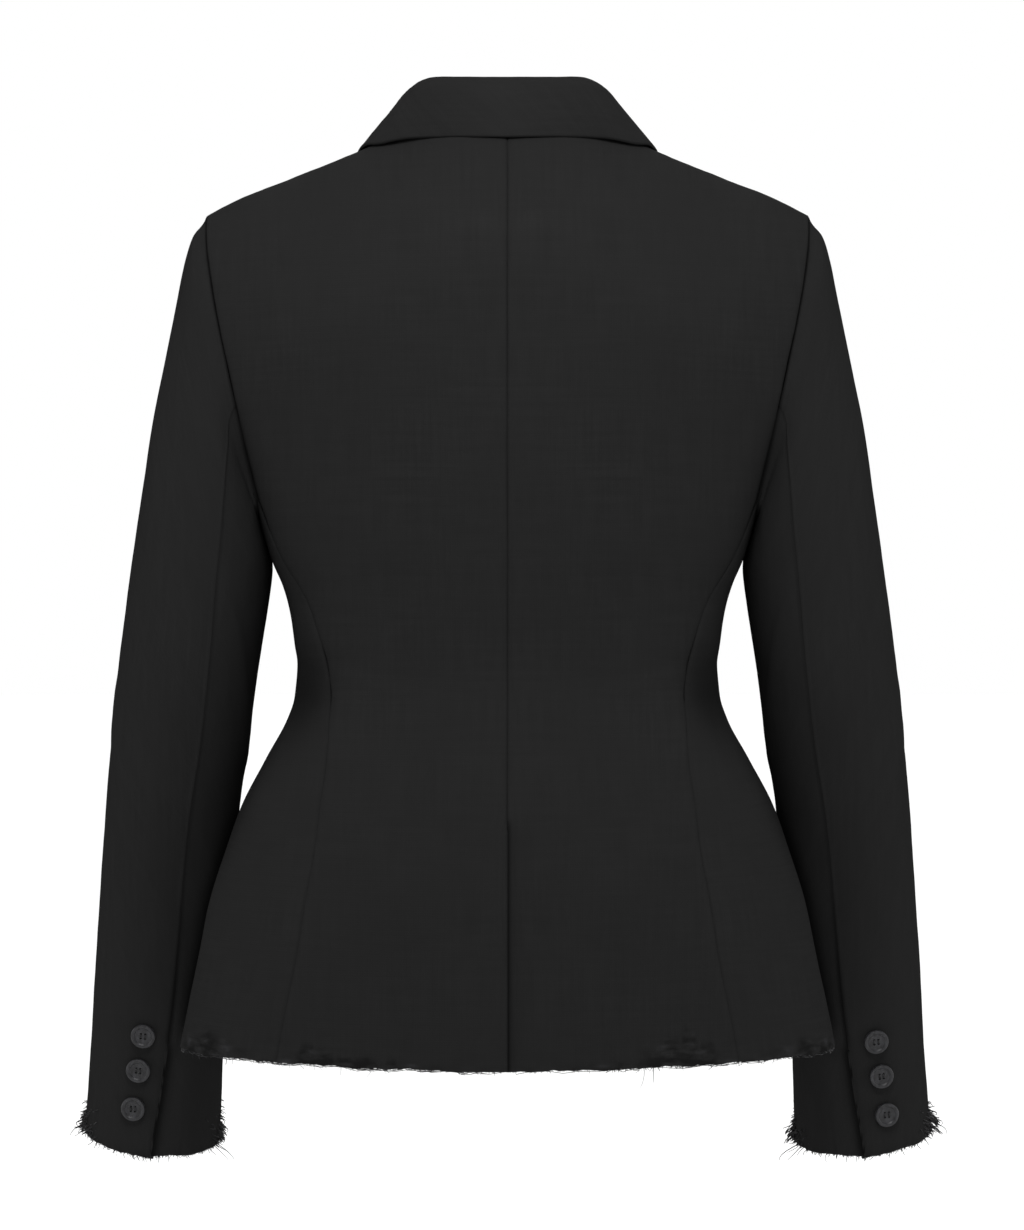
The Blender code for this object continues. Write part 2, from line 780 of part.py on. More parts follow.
def button(name, seat, across, up, out):
    """Four-hole button with a raised rim, lying on the cloth at its seat."""
    data = bmesh.new()
    rings = []
    for radius, height in zip(BUTTON_PROFILE["radius"], BUTTON_PROFILE["height"]):
        ring = []
        for i in range(BUTTON_SIDES):
            angle = 2 * math.pi * i / BUTTON_SIDES
            ring.append(data.verts.new((radius * math.cos(angle), radius * math.sin(angle), height)))
        rings.append(ring)
    for low, high in zip(rings, rings[1:]):
        for i in range(BUTTON_SIDES):
            j = (i + 1) % BUTTON_SIDES
            data.faces.new((low[i], low[j], high[j], high[i]))
    data.faces.new(rings[0][::-1])
    data.faces.new(rings[-1])
    disc = make_object(name, data, HORN, 0.45)
    holes = bmesh.new()
    for turn in range(4):
        angle = math.pi / 4 + turn * math.pi / 2
        centre = Vector((HOLE_REACH * math.cos(angle), HOLE_REACH * math.sin(angle), 1.5))
        made = bmesh.ops.create_cube(holes, size=1.0)
        for vertex in made["verts"]:
            local = vertex.co
            vertex.co = Vector((local.x * 2 * HOLE_HALF, local.y * 2 * HOLE_HALF, local.z * 8)) + centre
    cutter = make_object(name + "_holes", holes, HORN, 0.45)
    cut = disc.modifiers.new("holes", "BOOLEAN")
    cut.operation = "DIFFERENCE"
    cut.solver = "EXACT"
    cut.object = cutter
    bpy.context.view_layer.update()
    cut_mesh = bpy.data.meshes.new_from_object(disc.evaluated_get(bpy.context.evaluated_depsgraph_get()))
    disc.modifiers.clear()
    disc.data = cut_mesh
    bpy.data.objects.remove(cutter)
    for vertex in disc.data.vertices:
        local = vertex.co
        placed = np.array(seat) * MM + across * local.x + up * local.y + out * (local.z + BUTTON_GAP * MM)
        vertex.co = Vector(placed)
    disc.data.update()
    return disc


def fray(name, edge, downs, ins, tufts, closed):
    """Narrow raw strip along a cloth edge, its loose strands drawn out of the underside."""
    count = len(edge)
    spans = [np.linalg.norm(edge[(i + 1) % count] - edge[i]) for i in range(count if closed else count - 1)]
    stops = np.concatenate(([0], np.cumsum(spans)))
    total = stops[-1]
    marks = []
    for at, spread, strands, length, flare in zip(*tufts.values()):
        for i in range(int(strands)):
            step = (i + 0.5) / strands * 2 - 1
            wave = math.sin(12.9 * i + 78.2 * at)
            place = (at + spread * (step + 0.25 * wave / strands)) * total
            place = place % total if closed else min(max(place, 4), total - 4)
            reach = length * (0.62 + 0.38 * math.sin(5.1 * i + 9.7 * at))
            lean = 0.35 * step + 0.1 * wave
            marks.append((place, max(reach, 1.8), lean, flare * (0.75 + 0.25 * wave)))
    marks.sort()
    kept = []
    for mark in marks:
        if not kept or mark[0] - kept[-1][0] > STRAND_APART:
            kept.append(mark)
    half = 0.5 * STRAND_WIDE
    breaks = []
    for place, reach, lean, flare in kept:
        breaks.append((place - half, (reach, lean, flare)))
        breaks.append((place + half, None))
    for stop in stops[:-1] if closed else stops:
        if all(abs(stop - mark[0]) > 1.2 for mark in kept):
            breaks.append((stop, None))
    breaks.sort(key=lambda item: item[0])

    def at_length(values, place):
        place = place % total if closed else min(max(place, 0), total)
        i = int(min(np.searchsorted(stops, place, side="right") - 1, len(spans) - 1))
        t = (place - stops[i]) / spans[i]
        return values[i] + (values[(i + 1) % count] - values[i]) * t

    data = bmesh.new()
    columns = []
    for place, strand in breaks:
        top = at_length(edge, place)
        down = at_length(downs, place)
        inward = at_length(ins, place)
        down = down / np.linalg.norm(down)
        inward = inward / np.linalg.norm(inward)
        outer_top = top + down * FRAY_GAP + inward * FRAY_GAP
        corners = [outer_top, outer_top + down * FRAY_HEIGHT]
        corners += [outer_top + down * FRAY_HEIGHT + inward * FRAY_THICK, outer_top + inward * FRAY_THICK]
        columns.append([data.verts.new(Vector(c)) for c in corners])
    last = len(columns) if closed else len(columns) - 1
    for i in range(last):
        here = columns[i]
        there = columns[(i + 1) % len(columns)]
        strand = breaks[i][1]
        for a in range(4):
            b = (a + 1) % 4
            if a == 1 and strand is not None:
                continue
            data.faces.new((here[a], there[a], there[b], here[b]))
        if strand is None:
            continue
        reach, lean, flare = strand
        place = breaks[i][0] + half
        down = at_length(downs, place)
        inward = at_length(ins, place)
        out = -inward / np.linalg.norm(inward)
        down = down / np.linalg.norm(down)
        way = (down + out * flare) / math.hypot(1, flare)
        run = at_length(edge, place + 1.0) - at_length(edge, place - 1.0)
        run = run / np.linalg.norm(run)
        root = [here[1], there[1], there[2], here[2]]
        middle = sum((np.array(v.co) for v in root), np.zeros(3)) / 4
        for share, size in ((0.5, 0.8), (1.0, STRAND_TIP / STRAND_WIDE)):
            centre = middle + way * reach * share + run * reach * lean * share ** 1.6
            ring = []
            for v in (here[1], there[1], there[2], here[2]):
                ring.append(data.verts.new(Vector(centre + (np.array(v.co) - middle) * size)))
            for a in range(4):
                b = (a + 1) % 4
                data.faces.new((root[a], root[b], ring[b], ring[a]))
            root = ring
        data.faces.new(root)
    if not closed:
        data.faces.new(columns[0])
        data.faces.new(columns[-1][::-1])
    return make_object(name, data, THREAD, 0.95)


def build():
    for old in list(bpy.data.objects):
        bpy.data.objects.remove(old)

    # Body panels, parted at their seams
    body = {}
    for side, word in ((1, "left"), (-1, "right")):
        grids = [back_grid(side)]
        if side < 0:
            grids.append(vent_grid(side))
        body["back_" + word] = sheet(grids, side < 0)
        body["side_" + word] = sheet([side_grid(side)], side < 0)
        body["front_" + word] = sheet([front_grid(side)], side < 0)
    normals = shared_normals(body.values())
    for name, piece_sheet in body.items():
        wall(name, piece_sheet, normals)

    # Two-piece sleeves
    for side, word in ((1, "left"), (-1, "right")):
        top = sheet([top_sleeve_grid(side)], side < 0)
        under = sheet([under_sleeve_grid(side), cuff_lap_grid(side)], side < 0)
        normals = shared_normals([top, under])
        seat = {key((side * p[0], p[1], p[2])) for p in ARMHOLE_RING}
        for name, piece_sheet in (("top_sleeve_" + word, top), ("under_sleeve_" + word, under)):
            wall(name, piece_sheet, normals, seat=seat)

    # Collar and its stand
    fall = sheet([mirrored(collar_section, COLLAR_STEPS, COLLAR["at"][-1], FALL_SHARES)], False)
    wall("collar", fall, shared_normals([fall]))
    stand = sheet([mirrored(stand_section, STAND_STEPS, STAND_END, (0, 0.5, 1))], False)
    wall("collar_stand", stand, shared_normals([stand]), STAND_CLOTH)

    # Lapels
    for side, word in ((1, "left"), (-1, "right")):
        turned = sheet([lapel_grid(side)], side < 0)
        wall("lapel_" + word, turned, shared_normals([turned]))

    # Buttons
    for i, z in enumerate(FRONT_BUTTON_Z):
        point = np.array((0.0, front_y(0, z, 1), z))
        right = np.array((-1.0, front_y(0, z, 1), z))
        up = np.array((0.0, front_y(0, z + 1, 1), z + 1))
        across, rise_axis, out = surface_frame(point, -right + 2 * point, up)
        button("front_button_" + str(i + 1), point, across, rise_axis, out)
    for side, word, places in ((1, "left", LEFT_CUFF_BUTTONS), (-1, "right", RIGHT_CUFF_BUTTONS)):
        for i, (ring, angle) in enumerate(places):
            flip = np.array((side, 1, 1))
            point = ring_point(ring, angle) * flip
            right = ring_point(ring, angle + side * 2) * flip
            up = ring_point(ring - 0.1, angle) * flip
            across, rise_axis, out = surface_frame(point, right, up)
            button("cuff_button_" + word + "_" + str(i + 1), point, across, rise_axis, out)

    # Frayed hem and cuffs
    for side, word in ((1, "left"), (-1, "right")):
        rows = [back_grid(side), side_grid(side), front_grid(side)]
        edge = [np.array(p) for p in rows[0][0]]
        upper = [np.array(p) for p in rows[0][1]]
        for grid in rows[1:]:
            edge += [np.array(p) for p in grid[0][1:]]
            upper += [np.array(p) for p in grid[1][1:]]
        downs = [a - b for a, b in zip(edge, upper)]
        ins = [np.array((-p[0], -p[1], 0.0)) for p in edge]
        fray("hem_fray_" + word, edge, downs, ins, HEM_LEFT if side > 0 else HEM_RIGHT, False)
        last = SLEEVE_RINGS - 1
        flip = np.array((side, 1, 1))
        edge = [sleeve_point(last, step) * flip for step in range(RING_STEPS)]
        upper = [sleeve_point(last - 1, step) * flip for step in range(RING_STEPS)]
        downs = [a - b for a, b in zip(edge, upper)]
        middle = sum(edge) / len(edge)
        ins = [middle - p for p in edge]
        fray("cuff_fray_" + word, edge, downs, ins, CUFF, True)


build()
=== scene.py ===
import math

import bpy
import numpy as np
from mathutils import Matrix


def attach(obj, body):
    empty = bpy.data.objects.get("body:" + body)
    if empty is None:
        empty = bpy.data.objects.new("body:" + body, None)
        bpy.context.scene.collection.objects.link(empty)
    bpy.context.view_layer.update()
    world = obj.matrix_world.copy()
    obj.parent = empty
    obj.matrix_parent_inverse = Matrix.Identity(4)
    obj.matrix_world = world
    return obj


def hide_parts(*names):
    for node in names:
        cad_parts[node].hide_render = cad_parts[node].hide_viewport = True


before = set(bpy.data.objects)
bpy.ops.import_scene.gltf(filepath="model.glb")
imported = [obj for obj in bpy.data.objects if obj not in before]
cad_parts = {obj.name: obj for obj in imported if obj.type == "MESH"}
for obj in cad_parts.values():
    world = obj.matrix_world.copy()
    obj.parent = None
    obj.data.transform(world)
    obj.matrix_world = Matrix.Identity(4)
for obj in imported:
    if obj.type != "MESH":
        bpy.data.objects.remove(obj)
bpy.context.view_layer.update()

# Camera. It stands 3 m behind the jacket at the height of the waist and looks straight at the back,
# with a long lens, so that one pixel of the picture is 0.65 mm of cloth.
CAMERA_PLACE = (-0.0029, 3.0, -0.301)
CAMERA_LENS = 135.08
CAMERA_SENSOR = 36
bpy.ops.object.select_all(action="DESELECT")
bpy.ops.object.camera_add(location=CAMERA_PLACE, rotation=(math.pi / 2, 0, math.pi))
camera = bpy.context.object
camera.name = "camera"
camera.data.lens = CAMERA_LENS
camera.data.sensor_width = CAMERA_SENSOR
bpy.context.scene.camera = camera

# Back panels. Two panels of fine black wool, 2 mm thick, joined down the centre back as far as the vent.
# The left one laps over the right one there. Seams are pressed open and the hem is left raw.
MM = 0.001
SIDES = ((1, "left"), (-1, "right"))
CLOTH = 2.0
NECK_X = 75.0
SHOULDER_X = 195.0
NECK_BACK_Z = 7.0
BACK_JOINT_Z = -226.0
FRONT_JOINT_Z = -222.0
UNDERARM_Z = -237.0
BACK_SQUARE = 2.3
BACK_REACH = 130.0
VENT_TOP_Z = -430.0
VENT_LAP = 38.0
VENT_DROP = 3.4
VENT_LIFT = 0.6
VENT_GAPE = 1.6
VENT_SOFT = 26.0
VENT_FADE = 14.0
SEAM_HALF = 0.04
SEAM_STEPS = np.array((0, 0.4, 0.9, 1.5, 2.3, 3.4, 5.2, 8.0))
SEAM_DEPTH = 1.25
SEAM_WIDE = 1.5
EDGE_ROUND = 1.2
HEM_RAGGED = 0.8
WAVER = 0.3
# Strength of the painted shade along seams and edges
SEAM_SHADE = 0.75
CUT_BASE = 600.0
LOW_ROWS = 355.0
HIGH_ROWS = 200.0


def table(names, *rows):
    """Short table of sizes whose columns are called by name; the first column is the place along it."""
    values = np.array(rows, dtype=float)
    return {name: values[:, i] for i, name in enumerate(names.split())}


def along(sizes, name, place):
    """Smooth value of one column at places between the rows."""
    keys = sizes["at"]
    values = sizes[name]
    slopes = np.gradient(values, keys)
    place = np.clip(place, keys[0], keys[-1])
    i = np.clip(np.searchsorted(keys, place) - 1, 0, len(keys) - 2)
    span = keys[i + 1] - keys[i]
    t = (place - keys[i]) / span
    start = (1 + 2 * t) * (1 - t) ** 2 * values[i] + t * (1 - t) ** 2 * span * slopes[i]
    return start + t * t * (3 - 2 * t) * values[i + 1] + t * t * (t - 1) * span * slopes[i + 1]


def ease(low, high, value):
    """Soft step from 0 at low to 1 at high."""
    t = np.clip((value - low) / (high - low), 0, 1)
    return t * t * (3 - 2 * t)


def bell(distance, wide):
    """Soft hump of that half width, 1 at its middle."""
    return np.exp(-(distance / wide) ** 2)


# Body sections by height: half widths of the back and front quarters, and depths behind and before
BODY = table(
    "at back_half front_half back_depth front_depth",
    (-600, 214, 214, 137, 124),
    (-554, 205, 205, 134, 121),
    (-523, 198.5, 198.5, 131, 118),
    (-483, 190, 190, 127, 113),
    (-454, 180.5, 180.5, 121, 109),
    (-421, 168.5, 168.5, 111, 103),
    (-395, 155, 155, 100, 98),
    (-369, 141, 141, 91, 95),
    (-343, 135, 135, 86, 94),
    (-317, 136.5, 136.5, 87.5, 98),
    (-291, 141, 141, 92, 105),
    (-265, 151, 151, 97, 112),
    (-236, 160, 160, 102, 116),
    (-200, 171, 168, 107, 118),
    (-158, 186, 180, 111, 116),
    (-110, 199, 196, 113, 110),
    (-62, 214, 214, 112, 104),
    (0, 235, 235, 110, 98),
    (45, 250, 250, 108, 92),
)
SHOULDER = table(
    "at z", (-35, 31), (0, 37), (35, 31), (75, 9.4), (98, -0.6), (143, -19), (175, -31.6), (195, -42)
)
SIDE_SEAMS = table(
    "at back front",
    (-600, 0.69, 0.80),
    (-554, 0.68, 0.80),
    (-523, 0.67, 0.80),
    (-472, 0.667, 0.80),
    (-439, 0.68, 0.805),
    (-399, 0.73, 0.82),
    (-365, 0.805, 0.84),
    (-343, 0.835, 0.85),
    (-294, 0.90, 0.875),
    (-260, 0.955, 0.915),
    (-222, 0.986, 0.955),
)
ARMHOLE = table(
    "at back front",
    (-226, 160.6, 155.6),
    (-212, 164, 157),
    (-192, 168.5, 159.5),
    (-158, 175.5, 165.5),
    (-138, 179.5, 169.5),
    (-110, 185.5, 177),
    (-86, 190, 184),
    (-62, 193.6, 190),
    (-42, 195, 195),
)
HEM = table("at z", (0, -584.8), (0.25, -582.8), (0.4, -581.2), (0.55, -580), (0.75, -580.5), (1, -585.5))

# Worn patches of the raw hem, by side: place across the back in millimetres, half width and height
HEM_WORN = {
    1: table("at wide tall", (88, 40, 8), (121, 16, 15), (186, 20, 19)),
    -1: table("at wide tall", (66, 24, 5), (108, 26, 25), (188, 28, 11)),
}


def rise(drop, reach):
    """How far the cloth has turned from the shoulder seam, 0 at the seam and 1 where it hangs."""
    return np.sin(0.5 * math.pi * np.clip(drop / reach, 0, 1) ** 0.75)


def shoulder_z(x):
    return along(SHOULDER, "z", np.abs(x))


def back_y(x, z):
    """Depth of the back at a half width and height."""
    share = np.minimum(np.abs(x) / along(BODY, "back_half", z), 1)
    depth = along(BODY, "back_depth", z) * (1 - share ** BACK_SQUARE) ** (1 / BACK_SQUARE)
    return depth * rise(shoulder_z(x) - z, BACK_REACH)


def neck_top(x):
    """Top edge of the back: the neckline, then the shoulder seam."""
    neck = NECK_BACK_Z + (shoulder_z(NECK_X) - NECK_BACK_Z) * (x / NECK_X) ** 2
    return np.where(x <= NECK_X, neck, shoulder_z(x))


def panel_height(t, bottom, joint, top):
    """Height on a line from the hem, at 0, through the joint, at 1, to the top edge, at 2."""
    return np.where(t <= 1, bottom + (joint - bottom) * t, joint + (top - joint) * (t - 1))


def columns(width, count):
    """Distances across a panel of that width by row, close together at its two edges."""
    near = SEAM_STEPS * np.minimum(1, width / 40)[:, None]
    middle = np.linspace(0, 1, count + 2)[1:-1]
    between = near[:, -1:] + (width[:, None] - 2 * near[:, -1:]) * middle
    return np.concatenate((near, between, width[:, None] - near[:, ::-1]), axis=1)


def even_rows(length, count):
    """Shares from 0 to 1 along a length, close together at both ends."""
    return columns(np.array((length,)), count)[0] / length


def body_rows(low_count, high_count):
    """Rows of a body panel from the hem through the joint to the top, close together at both ends."""
    edge = len(SEAM_STEPS)
    low = even_rows(LOW_ROWS, low_count)[:-edge]
    high = even_rows(HIGH_ROWS, high_count)[edge:]
    return np.concatenate((low, (1,), 1 + high))


def pressed(distance):
    """How deep the cloth turns in at a seam."""
    return SEAM_DEPTH * bell(distance, SEAM_WIDE) + 0.25 * bell(distance, 6)


def rounded(distance, radius):
    """How far a turned edge falls away, as a quarter circle."""
    inside = np.clip(radius - distance, 0, radius)
    return radius - np.sqrt(radius ** 2 - inside ** 2)


def armhole_mark(distance, z):
    """Shade along the armhole seam, which widens toward the underarm."""
    return bell(distance, 1 + 1.5 * (1 - ease(-205, -110, z)))


def uneven(place, seed):
    """Gentle irregular wave from -1 to 1 along an edge measured in millimetres."""
    total = 0
    for i, period in enumerate((61.0, 23.0, 9.7, 4.3)):
        total = total + np.sin(2 * math.pi * place / period + 1.9 * i + seed) * (0.4, 0.3, 0.18, 0.12)[i]
    return total


def ragged(across, seed, t):
    """How far the raw hem wanders up and down."""
    return HEM_RAGGED * uneven(across, seed) * (1 - ease(0, 0.05, t))


def creases(across, up, rows):
    """Soft troughs and ridges: each has a middle, a slant in degrees, half length, half width and depth."""
    total = np.zeros(np.broadcast(across, up).shape)
    for x, z, slant, length, width, depth in rows:
        c = math.cos(math.radians(slant))
        s = math.sin(math.radians(slant))
        run = (across - x) * c + (up - z) * s
        bow = (up - z) * c - (across - x) * s + 0.12 * length * (run / length) ** 2
        total = total + depth * np.exp(-(run / length) ** 2 - (bow / width) ** 2)
    return total


def unit(vectors):
    """Directions of length 1."""
    return vectors / np.maximum(np.linalg.norm(vectors, axis=-1), 1e-9)[..., None]


def outward(points):
    """Direction square to the cloth at each point of a grid, for rows that rise and columns that go left."""
    return unit(np.cross(np.gradient(points, axis=0), np.gradient(points, axis=1)))


def moved_out(points, lift):
    """Grid moved along its own outward direction."""
    return points + outward(points) * lift[:, :, None]


def run_lengths(points, axis):
    """Distance along the rows or columns of a grid, in millimetres."""
    steps = np.linalg.norm(np.diff(points, axis=axis), axis=2)
    start = np.zeros_like(np.take(steps, (0,), axis=axis))
    return np.concatenate((start, np.cumsum(steps, axis=axis)), axis=axis)


def pick(*chosen):
    """Selects these objects alone and makes the last one active."""
    bpy.ops.object.select_all(action="DESELECT")
    for piece in chosen:
        piece.select_set(True)
    bpy.context.view_layer.objects.active = chosen[-1]


def cloth_piece(node, side, *grids, thick=CLOTH):
    """Shell of wool that stands for a solid, from one or more grids; the right side is mirrored.

    Plain grids are added and their points set by the cut; then they are joined, merged and thickened.
    """
    made = []
    for grid in grids:
        points = grid["points"]
        rows, count = points.shape[:2]
        bpy.ops.object.select_all(action="DESELECT")
        bpy.ops.mesh.primitive_grid_add(x_subdivisions=count - 1, y_subdivisions=rows - 1, size=1)
        piece = bpy.context.object
        mesh = piece.data
        flat = np.empty(len(mesh.vertices) * 3)
        mesh.vertices.foreach_get("co", flat)
        flat = flat.reshape(-1, 3)
        column = np.rint((flat[:, 0] + 0.5) * (count - 1)).astype(int)
        row = np.rint((flat[:, 1] + 0.5) * (rows - 1)).astype(int)
        placed = points[row, column] * MM
        placed[:, 0] *= side
        mesh.vertices.foreach_set("co", placed.ravel())
        corner = np.empty(len(mesh.loops), dtype=int)
        mesh.loops.foreach_get("vertex_index", corner)
        spread = np.stack((grid["across"][row, column], grid["up"][row, column]), axis=1) * MM
        mesh.uv_layers.active.name = "cloth"
        mesh.uv_layers.active.data.foreach_set("uv", spread[corner].ravel())
        # The pressed attribute holds painted shade; the worn attribute holds wear of the raw edges
        for kind in ("pressed", "worn"):
            values = mesh.attributes.new(kind, "FLOAT", "POINT")
            values.data.foreach_set("value", np.clip(grid[kind], 0, 1)[row, column])
        mesh.update()
        made.insert(0, piece)
    pick(*made)
    if len(made) > 1:
        bpy.ops.object.join()
    piece = bpy.context.object
    piece.name = node + "_cloth"
    piece.data.name = piece.name
    bpy.ops.object.mode_set(mode="EDIT")
    bpy.ops.mesh.select_all(action="SELECT")
    if len(made) > 1:
        bpy.ops.mesh.remove_doubles(threshold=0.02 * MM)
    if grids[0]["turn"] * side < 0:
        bpy.ops.mesh.flip_normals()
    bpy.ops.object.mode_set(mode="OBJECT")
    wall = piece.modifiers.new("wall", "SOLIDIFY")
    wall.thickness = thick * MM
    wall.offset = -1
    bpy.ops.object.modifier_apply(modifier="wall")
    bpy.ops.object.shade_smooth_by_angle(angle=math.radians(50))
    piece.data.materials.clear()
    piece.data.materials.append(wool)
    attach(piece, "root")
    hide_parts(node)
    return piece


def sheet_grid(points, across, up, shade_painted_by=0, worn_by=0, turn=1):
    """One grid of a piece of cloth, with its place on the cut, its painted shade and worn marks."""
    values = {"across": across, "up": up, "pressed": shade_painted_by, "worn": worn_by}
    ones = np.ones(points.shape[:2])
    return {"points": points, "turn": turn} | {name: value * ones for name, value in values.items()}


def linear(code):
    """Linear colour of an sRGB hex value."""
    parts = [int(code[i:i + 2], 16) / 255 for i in (1, 3, 5)]
    parts = [p / 12.92 if p <= 0.04045 else ((p + 0.055) / 1.055) ** 2.4 for p in parts]
    return (*parts, 1)


def set_inputs(tree, node, inputs):
    """Sets the inputs of a node, or links them to the outputs of others."""
    for name, value in inputs.items():
        if isinstance(value, bpy.types.NodeSocket):
            tree.links.new(value, node.inputs[name])
        else:
            node.inputs[name].default_value = value


def add_node(tree, kind, inputs, out=0, **settings):
    """Adds a shader node with its settings and inputs, and returns one of its outputs."""
    node = tree.nodes.new("ShaderNode" + kind)
    for name, value in settings.items():
        setattr(node, name, value)
    set_inputs(tree, node, inputs)
    return node.outputs[out]


def mixed(tree, share, first, second):
    """Colour between two, by a share."""
    return add_node(tree, "Mix", {0: share, 6: first, 7: second}, 2, data_type="RGBA")


def new_material(name):
    """Material with its node tree and its shader."""
    material = bpy.data.materials.new(name)
    material.use_nodes = True
    return material, material.node_tree, material.node_tree.nodes["Principled BSDF"]


# Fine wool suiting, woven and pressed: matt and almost black, with faint slubs along both threads
# and matted worn patches. The pressed attribute darkens it with painted shade along the seams and
# edges, at the side of the waist and where the sleeve hangs by the skirt. Its threads are 0.5 mm
# apart; they are drawn 1.5 mm apart to show.
THREAD_APART = 1.5 * MM
SLUB_LONG = 30 * MM
TONE_WIDE = 70 * MM
MATTED = (0.06 / MM, 0.17 / MM, 1)
WOOL_DARK = "#121212"
WOOL_LIGHT = "#161616"
WOOL_WORN = "#1D1D1E"
WOOL_HOLLOW = "#0D0D0D"
WOOL_PAINTED_SHADE = "#060606"


def wool_material():
    material, tree, shader = new_material("black_wool_suiting")
    place = add_node(tree, "UVMap", {}, uv_map="cloth")
    threads = {"Vector": place, "Scale": math.pi / 10 / THREAD_APART, "Distortion": 1.2, "Detail": 1.0,
               "Detail Scale": 0.6}
    warp, weft = [add_node(tree, "TexWave", threads, 1, bands_direction=way) for way in "XY"]
    weave = add_node(tree, "Math", {0: warp, 1: weft}, operation="MAXIMUM")
    slubs = []
    for scale in ((1 / THREAD_APART, 1 / SLUB_LONG, 1), (1 / SLUB_LONG, 1 / THREAD_APART, 1)):
        drawn = add_node(tree, "Mapping", {"Vector": place, "Scale": scale})
        slubs.append(add_node(tree, "TexNoise", {"Vector": drawn, "Scale": 0.7, "Detail": 2.0}))
    slub = add_node(tree, "Math", {0: slubs[0], 1: slubs[1]}, operation="ADD")
    slub = add_node(tree, "MapRange", {0: slub, 1: 0.75, 2: 1.3})
    tone = add_node(tree, "TexNoise", {"Vector": place, "Scale": 1 / TONE_WIDE, "Detail": 3.0})
    share = add_node(tree, "Math", {0: slub, 1: tone}, operation="MULTIPLY")
    share = add_node(tree, "Math", {0: weave, 1: 0.35, 2: share}, operation="MULTIPLY_ADD")
    colour = mixed(tree, share, linear(WOOL_DARK), linear(WOOL_LIGHT))
    worn = add_node(tree, "Attribute", {}, 2, attribute_name="worn")
    mat = add_node(tree, "Mapping", {"Vector": place, "Scale": MATTED})
    mat = add_node(tree, "TexNoise", {"Vector": mat, "Scale": 1.0, "Detail": 3.0, "Roughness": 0.5})
    for low, high, shade in ((0.54, 0.4, WOOL_HOLLOW), (0.56, 0.72, WOOL_WORN)):
        patch = add_node(tree, "MapRange", {0: mat, 1: low, 2: high})
        patch = add_node(tree, "Math", {0: worn, 1: patch}, operation="MULTIPLY")
        colour = mixed(tree, patch, colour, linear(shade))
    # Painted shade: the pressed attribute mixes the colour towards near black
    press = add_node(tree, "Attribute", {}, 2, attribute_name="pressed")
    height = add_node(tree, "Math", {0: slub, 1: weave}, operation="ADD")
    height = add_node(tree, "Math", {0: patch, 1: 1.5, 2: height}, operation="MULTIPLY_ADD")
    set_inputs(tree, shader, {
        "Base Color": mixed(tree, press, colour, linear(WOOL_PAINTED_SHADE)),
        "Normal": add_node(tree, "Bump", {"Height": height, "Strength": 0.25, "Distance": 0.1 * MM}),
        "Roughness": add_node(tree, "MapRange", {0: slub, 3: 0.82, 4: 0.95}),
        "IOR": 1.45,
        "Specular IOR Level": 0.0,
    })
    return material


wool = wool_material()
hems = {1: [], -1: []}


def hem_wear(z, hem):
    """Light wear all along the raw hem."""
    return 0.35 * bell(z - hem, 2.5)


def worn_hem(side, x, z, hem):
    """Worn share of the cloth near the raw hem, with its worn patches."""
    patches = HEM_WORN[side]
    total = hem_wear(z, hem)
    for at, wide, tall in zip(patches["at"], patches["wide"], patches["tall"]):
        tent = np.clip(1.05 - 0.6 * np.abs(x - at) / wide, 0.2, 1)
        crest = tall * tent * (0.9 + 0.22 * np.sin(x * 0.45 + at) + 0.14 * np.sin(x * 1.1))
        total = total + np.exp(-((x - at) / wide) ** 4) * (1 - ease(0.5, 1.1, (z - hem) / crest))
    return np.clip(total, 0, 1)


def fluffed(worn, across, z):
    """Uneven height of the matted wool in the worn patches."""
    return worn * 0.35 * np.sin(across * 0.5 + z * 0.3) * np.sin(z * 0.9 - across * 0.2)


def painted_waist_shade(x, z):
    """Painted shade at the side of the waist where it pinches in, and along the side edge of the skirt below
    it.
    """
    inside = along(BODY, "back_half", z) - x
    waist = 0.6 * np.exp(-((inside - 10) / 14) ** 2 - ((z + 350) / 30) ** 2)
    hip = 0.35 * bell(inside, 6) * ease(-490, -430, z) * (1 - ease(-385, -355, z))
    return np.maximum(waist, hip)


def keep_hem(side, points, worn, rows=26):
    """Keeps the lowest rows of a panel for its frayed edge."""
    hems[side].append({"points": points[:rows], "out": outward(points)[:rows], "worn": worn[:rows]})


# Soft creases of the back by place: from the armhole, at the waist and down the skirt
BACK_CREASES = (
    (152, -150, 78, 60, 11, -1.1),
    (138, -200, 66, 46, 10, -0.7),
    (112, -330, 12, 42, 8, -0.8),
    (104, -352, 4, 46, 7, -0.7),
    (120, -372, -14, 36, 8, 0.6),
    (58, -345, 3, 30, 9, -0.4),
    (62, -520, 88, 110, 17, -0.9),
    (104, -510, 82, 100, 16, 0.8),
    (30, -545, 90, 70, 14, 0.5),
    (60, -120, 40, 60, 24, 0.5),
)
BODY_COLUMNS = 56
BACK_HEM = 0.4
back_t = body_rows(150, 80)


def body_edge(half, t, hem_place, joint):
    """Half width of the back or the front at its side seam and armhole."""
    z = panel_height(t, along(HEM, "z", hem_place), joint, shoulder_z(SHOULDER_X))
    seam = along(SIDE_SEAMS, half, z) * along(BODY, half + "_half", z)
    return np.where(t <= 1, seam, along(ARMHOLE, half, z))


def vent_open(z):
    """How far the vent is open at a height."""
    return 1 - ease(VENT_TOP_Z - VENT_FADE, VENT_TOP_Z + 4, z)


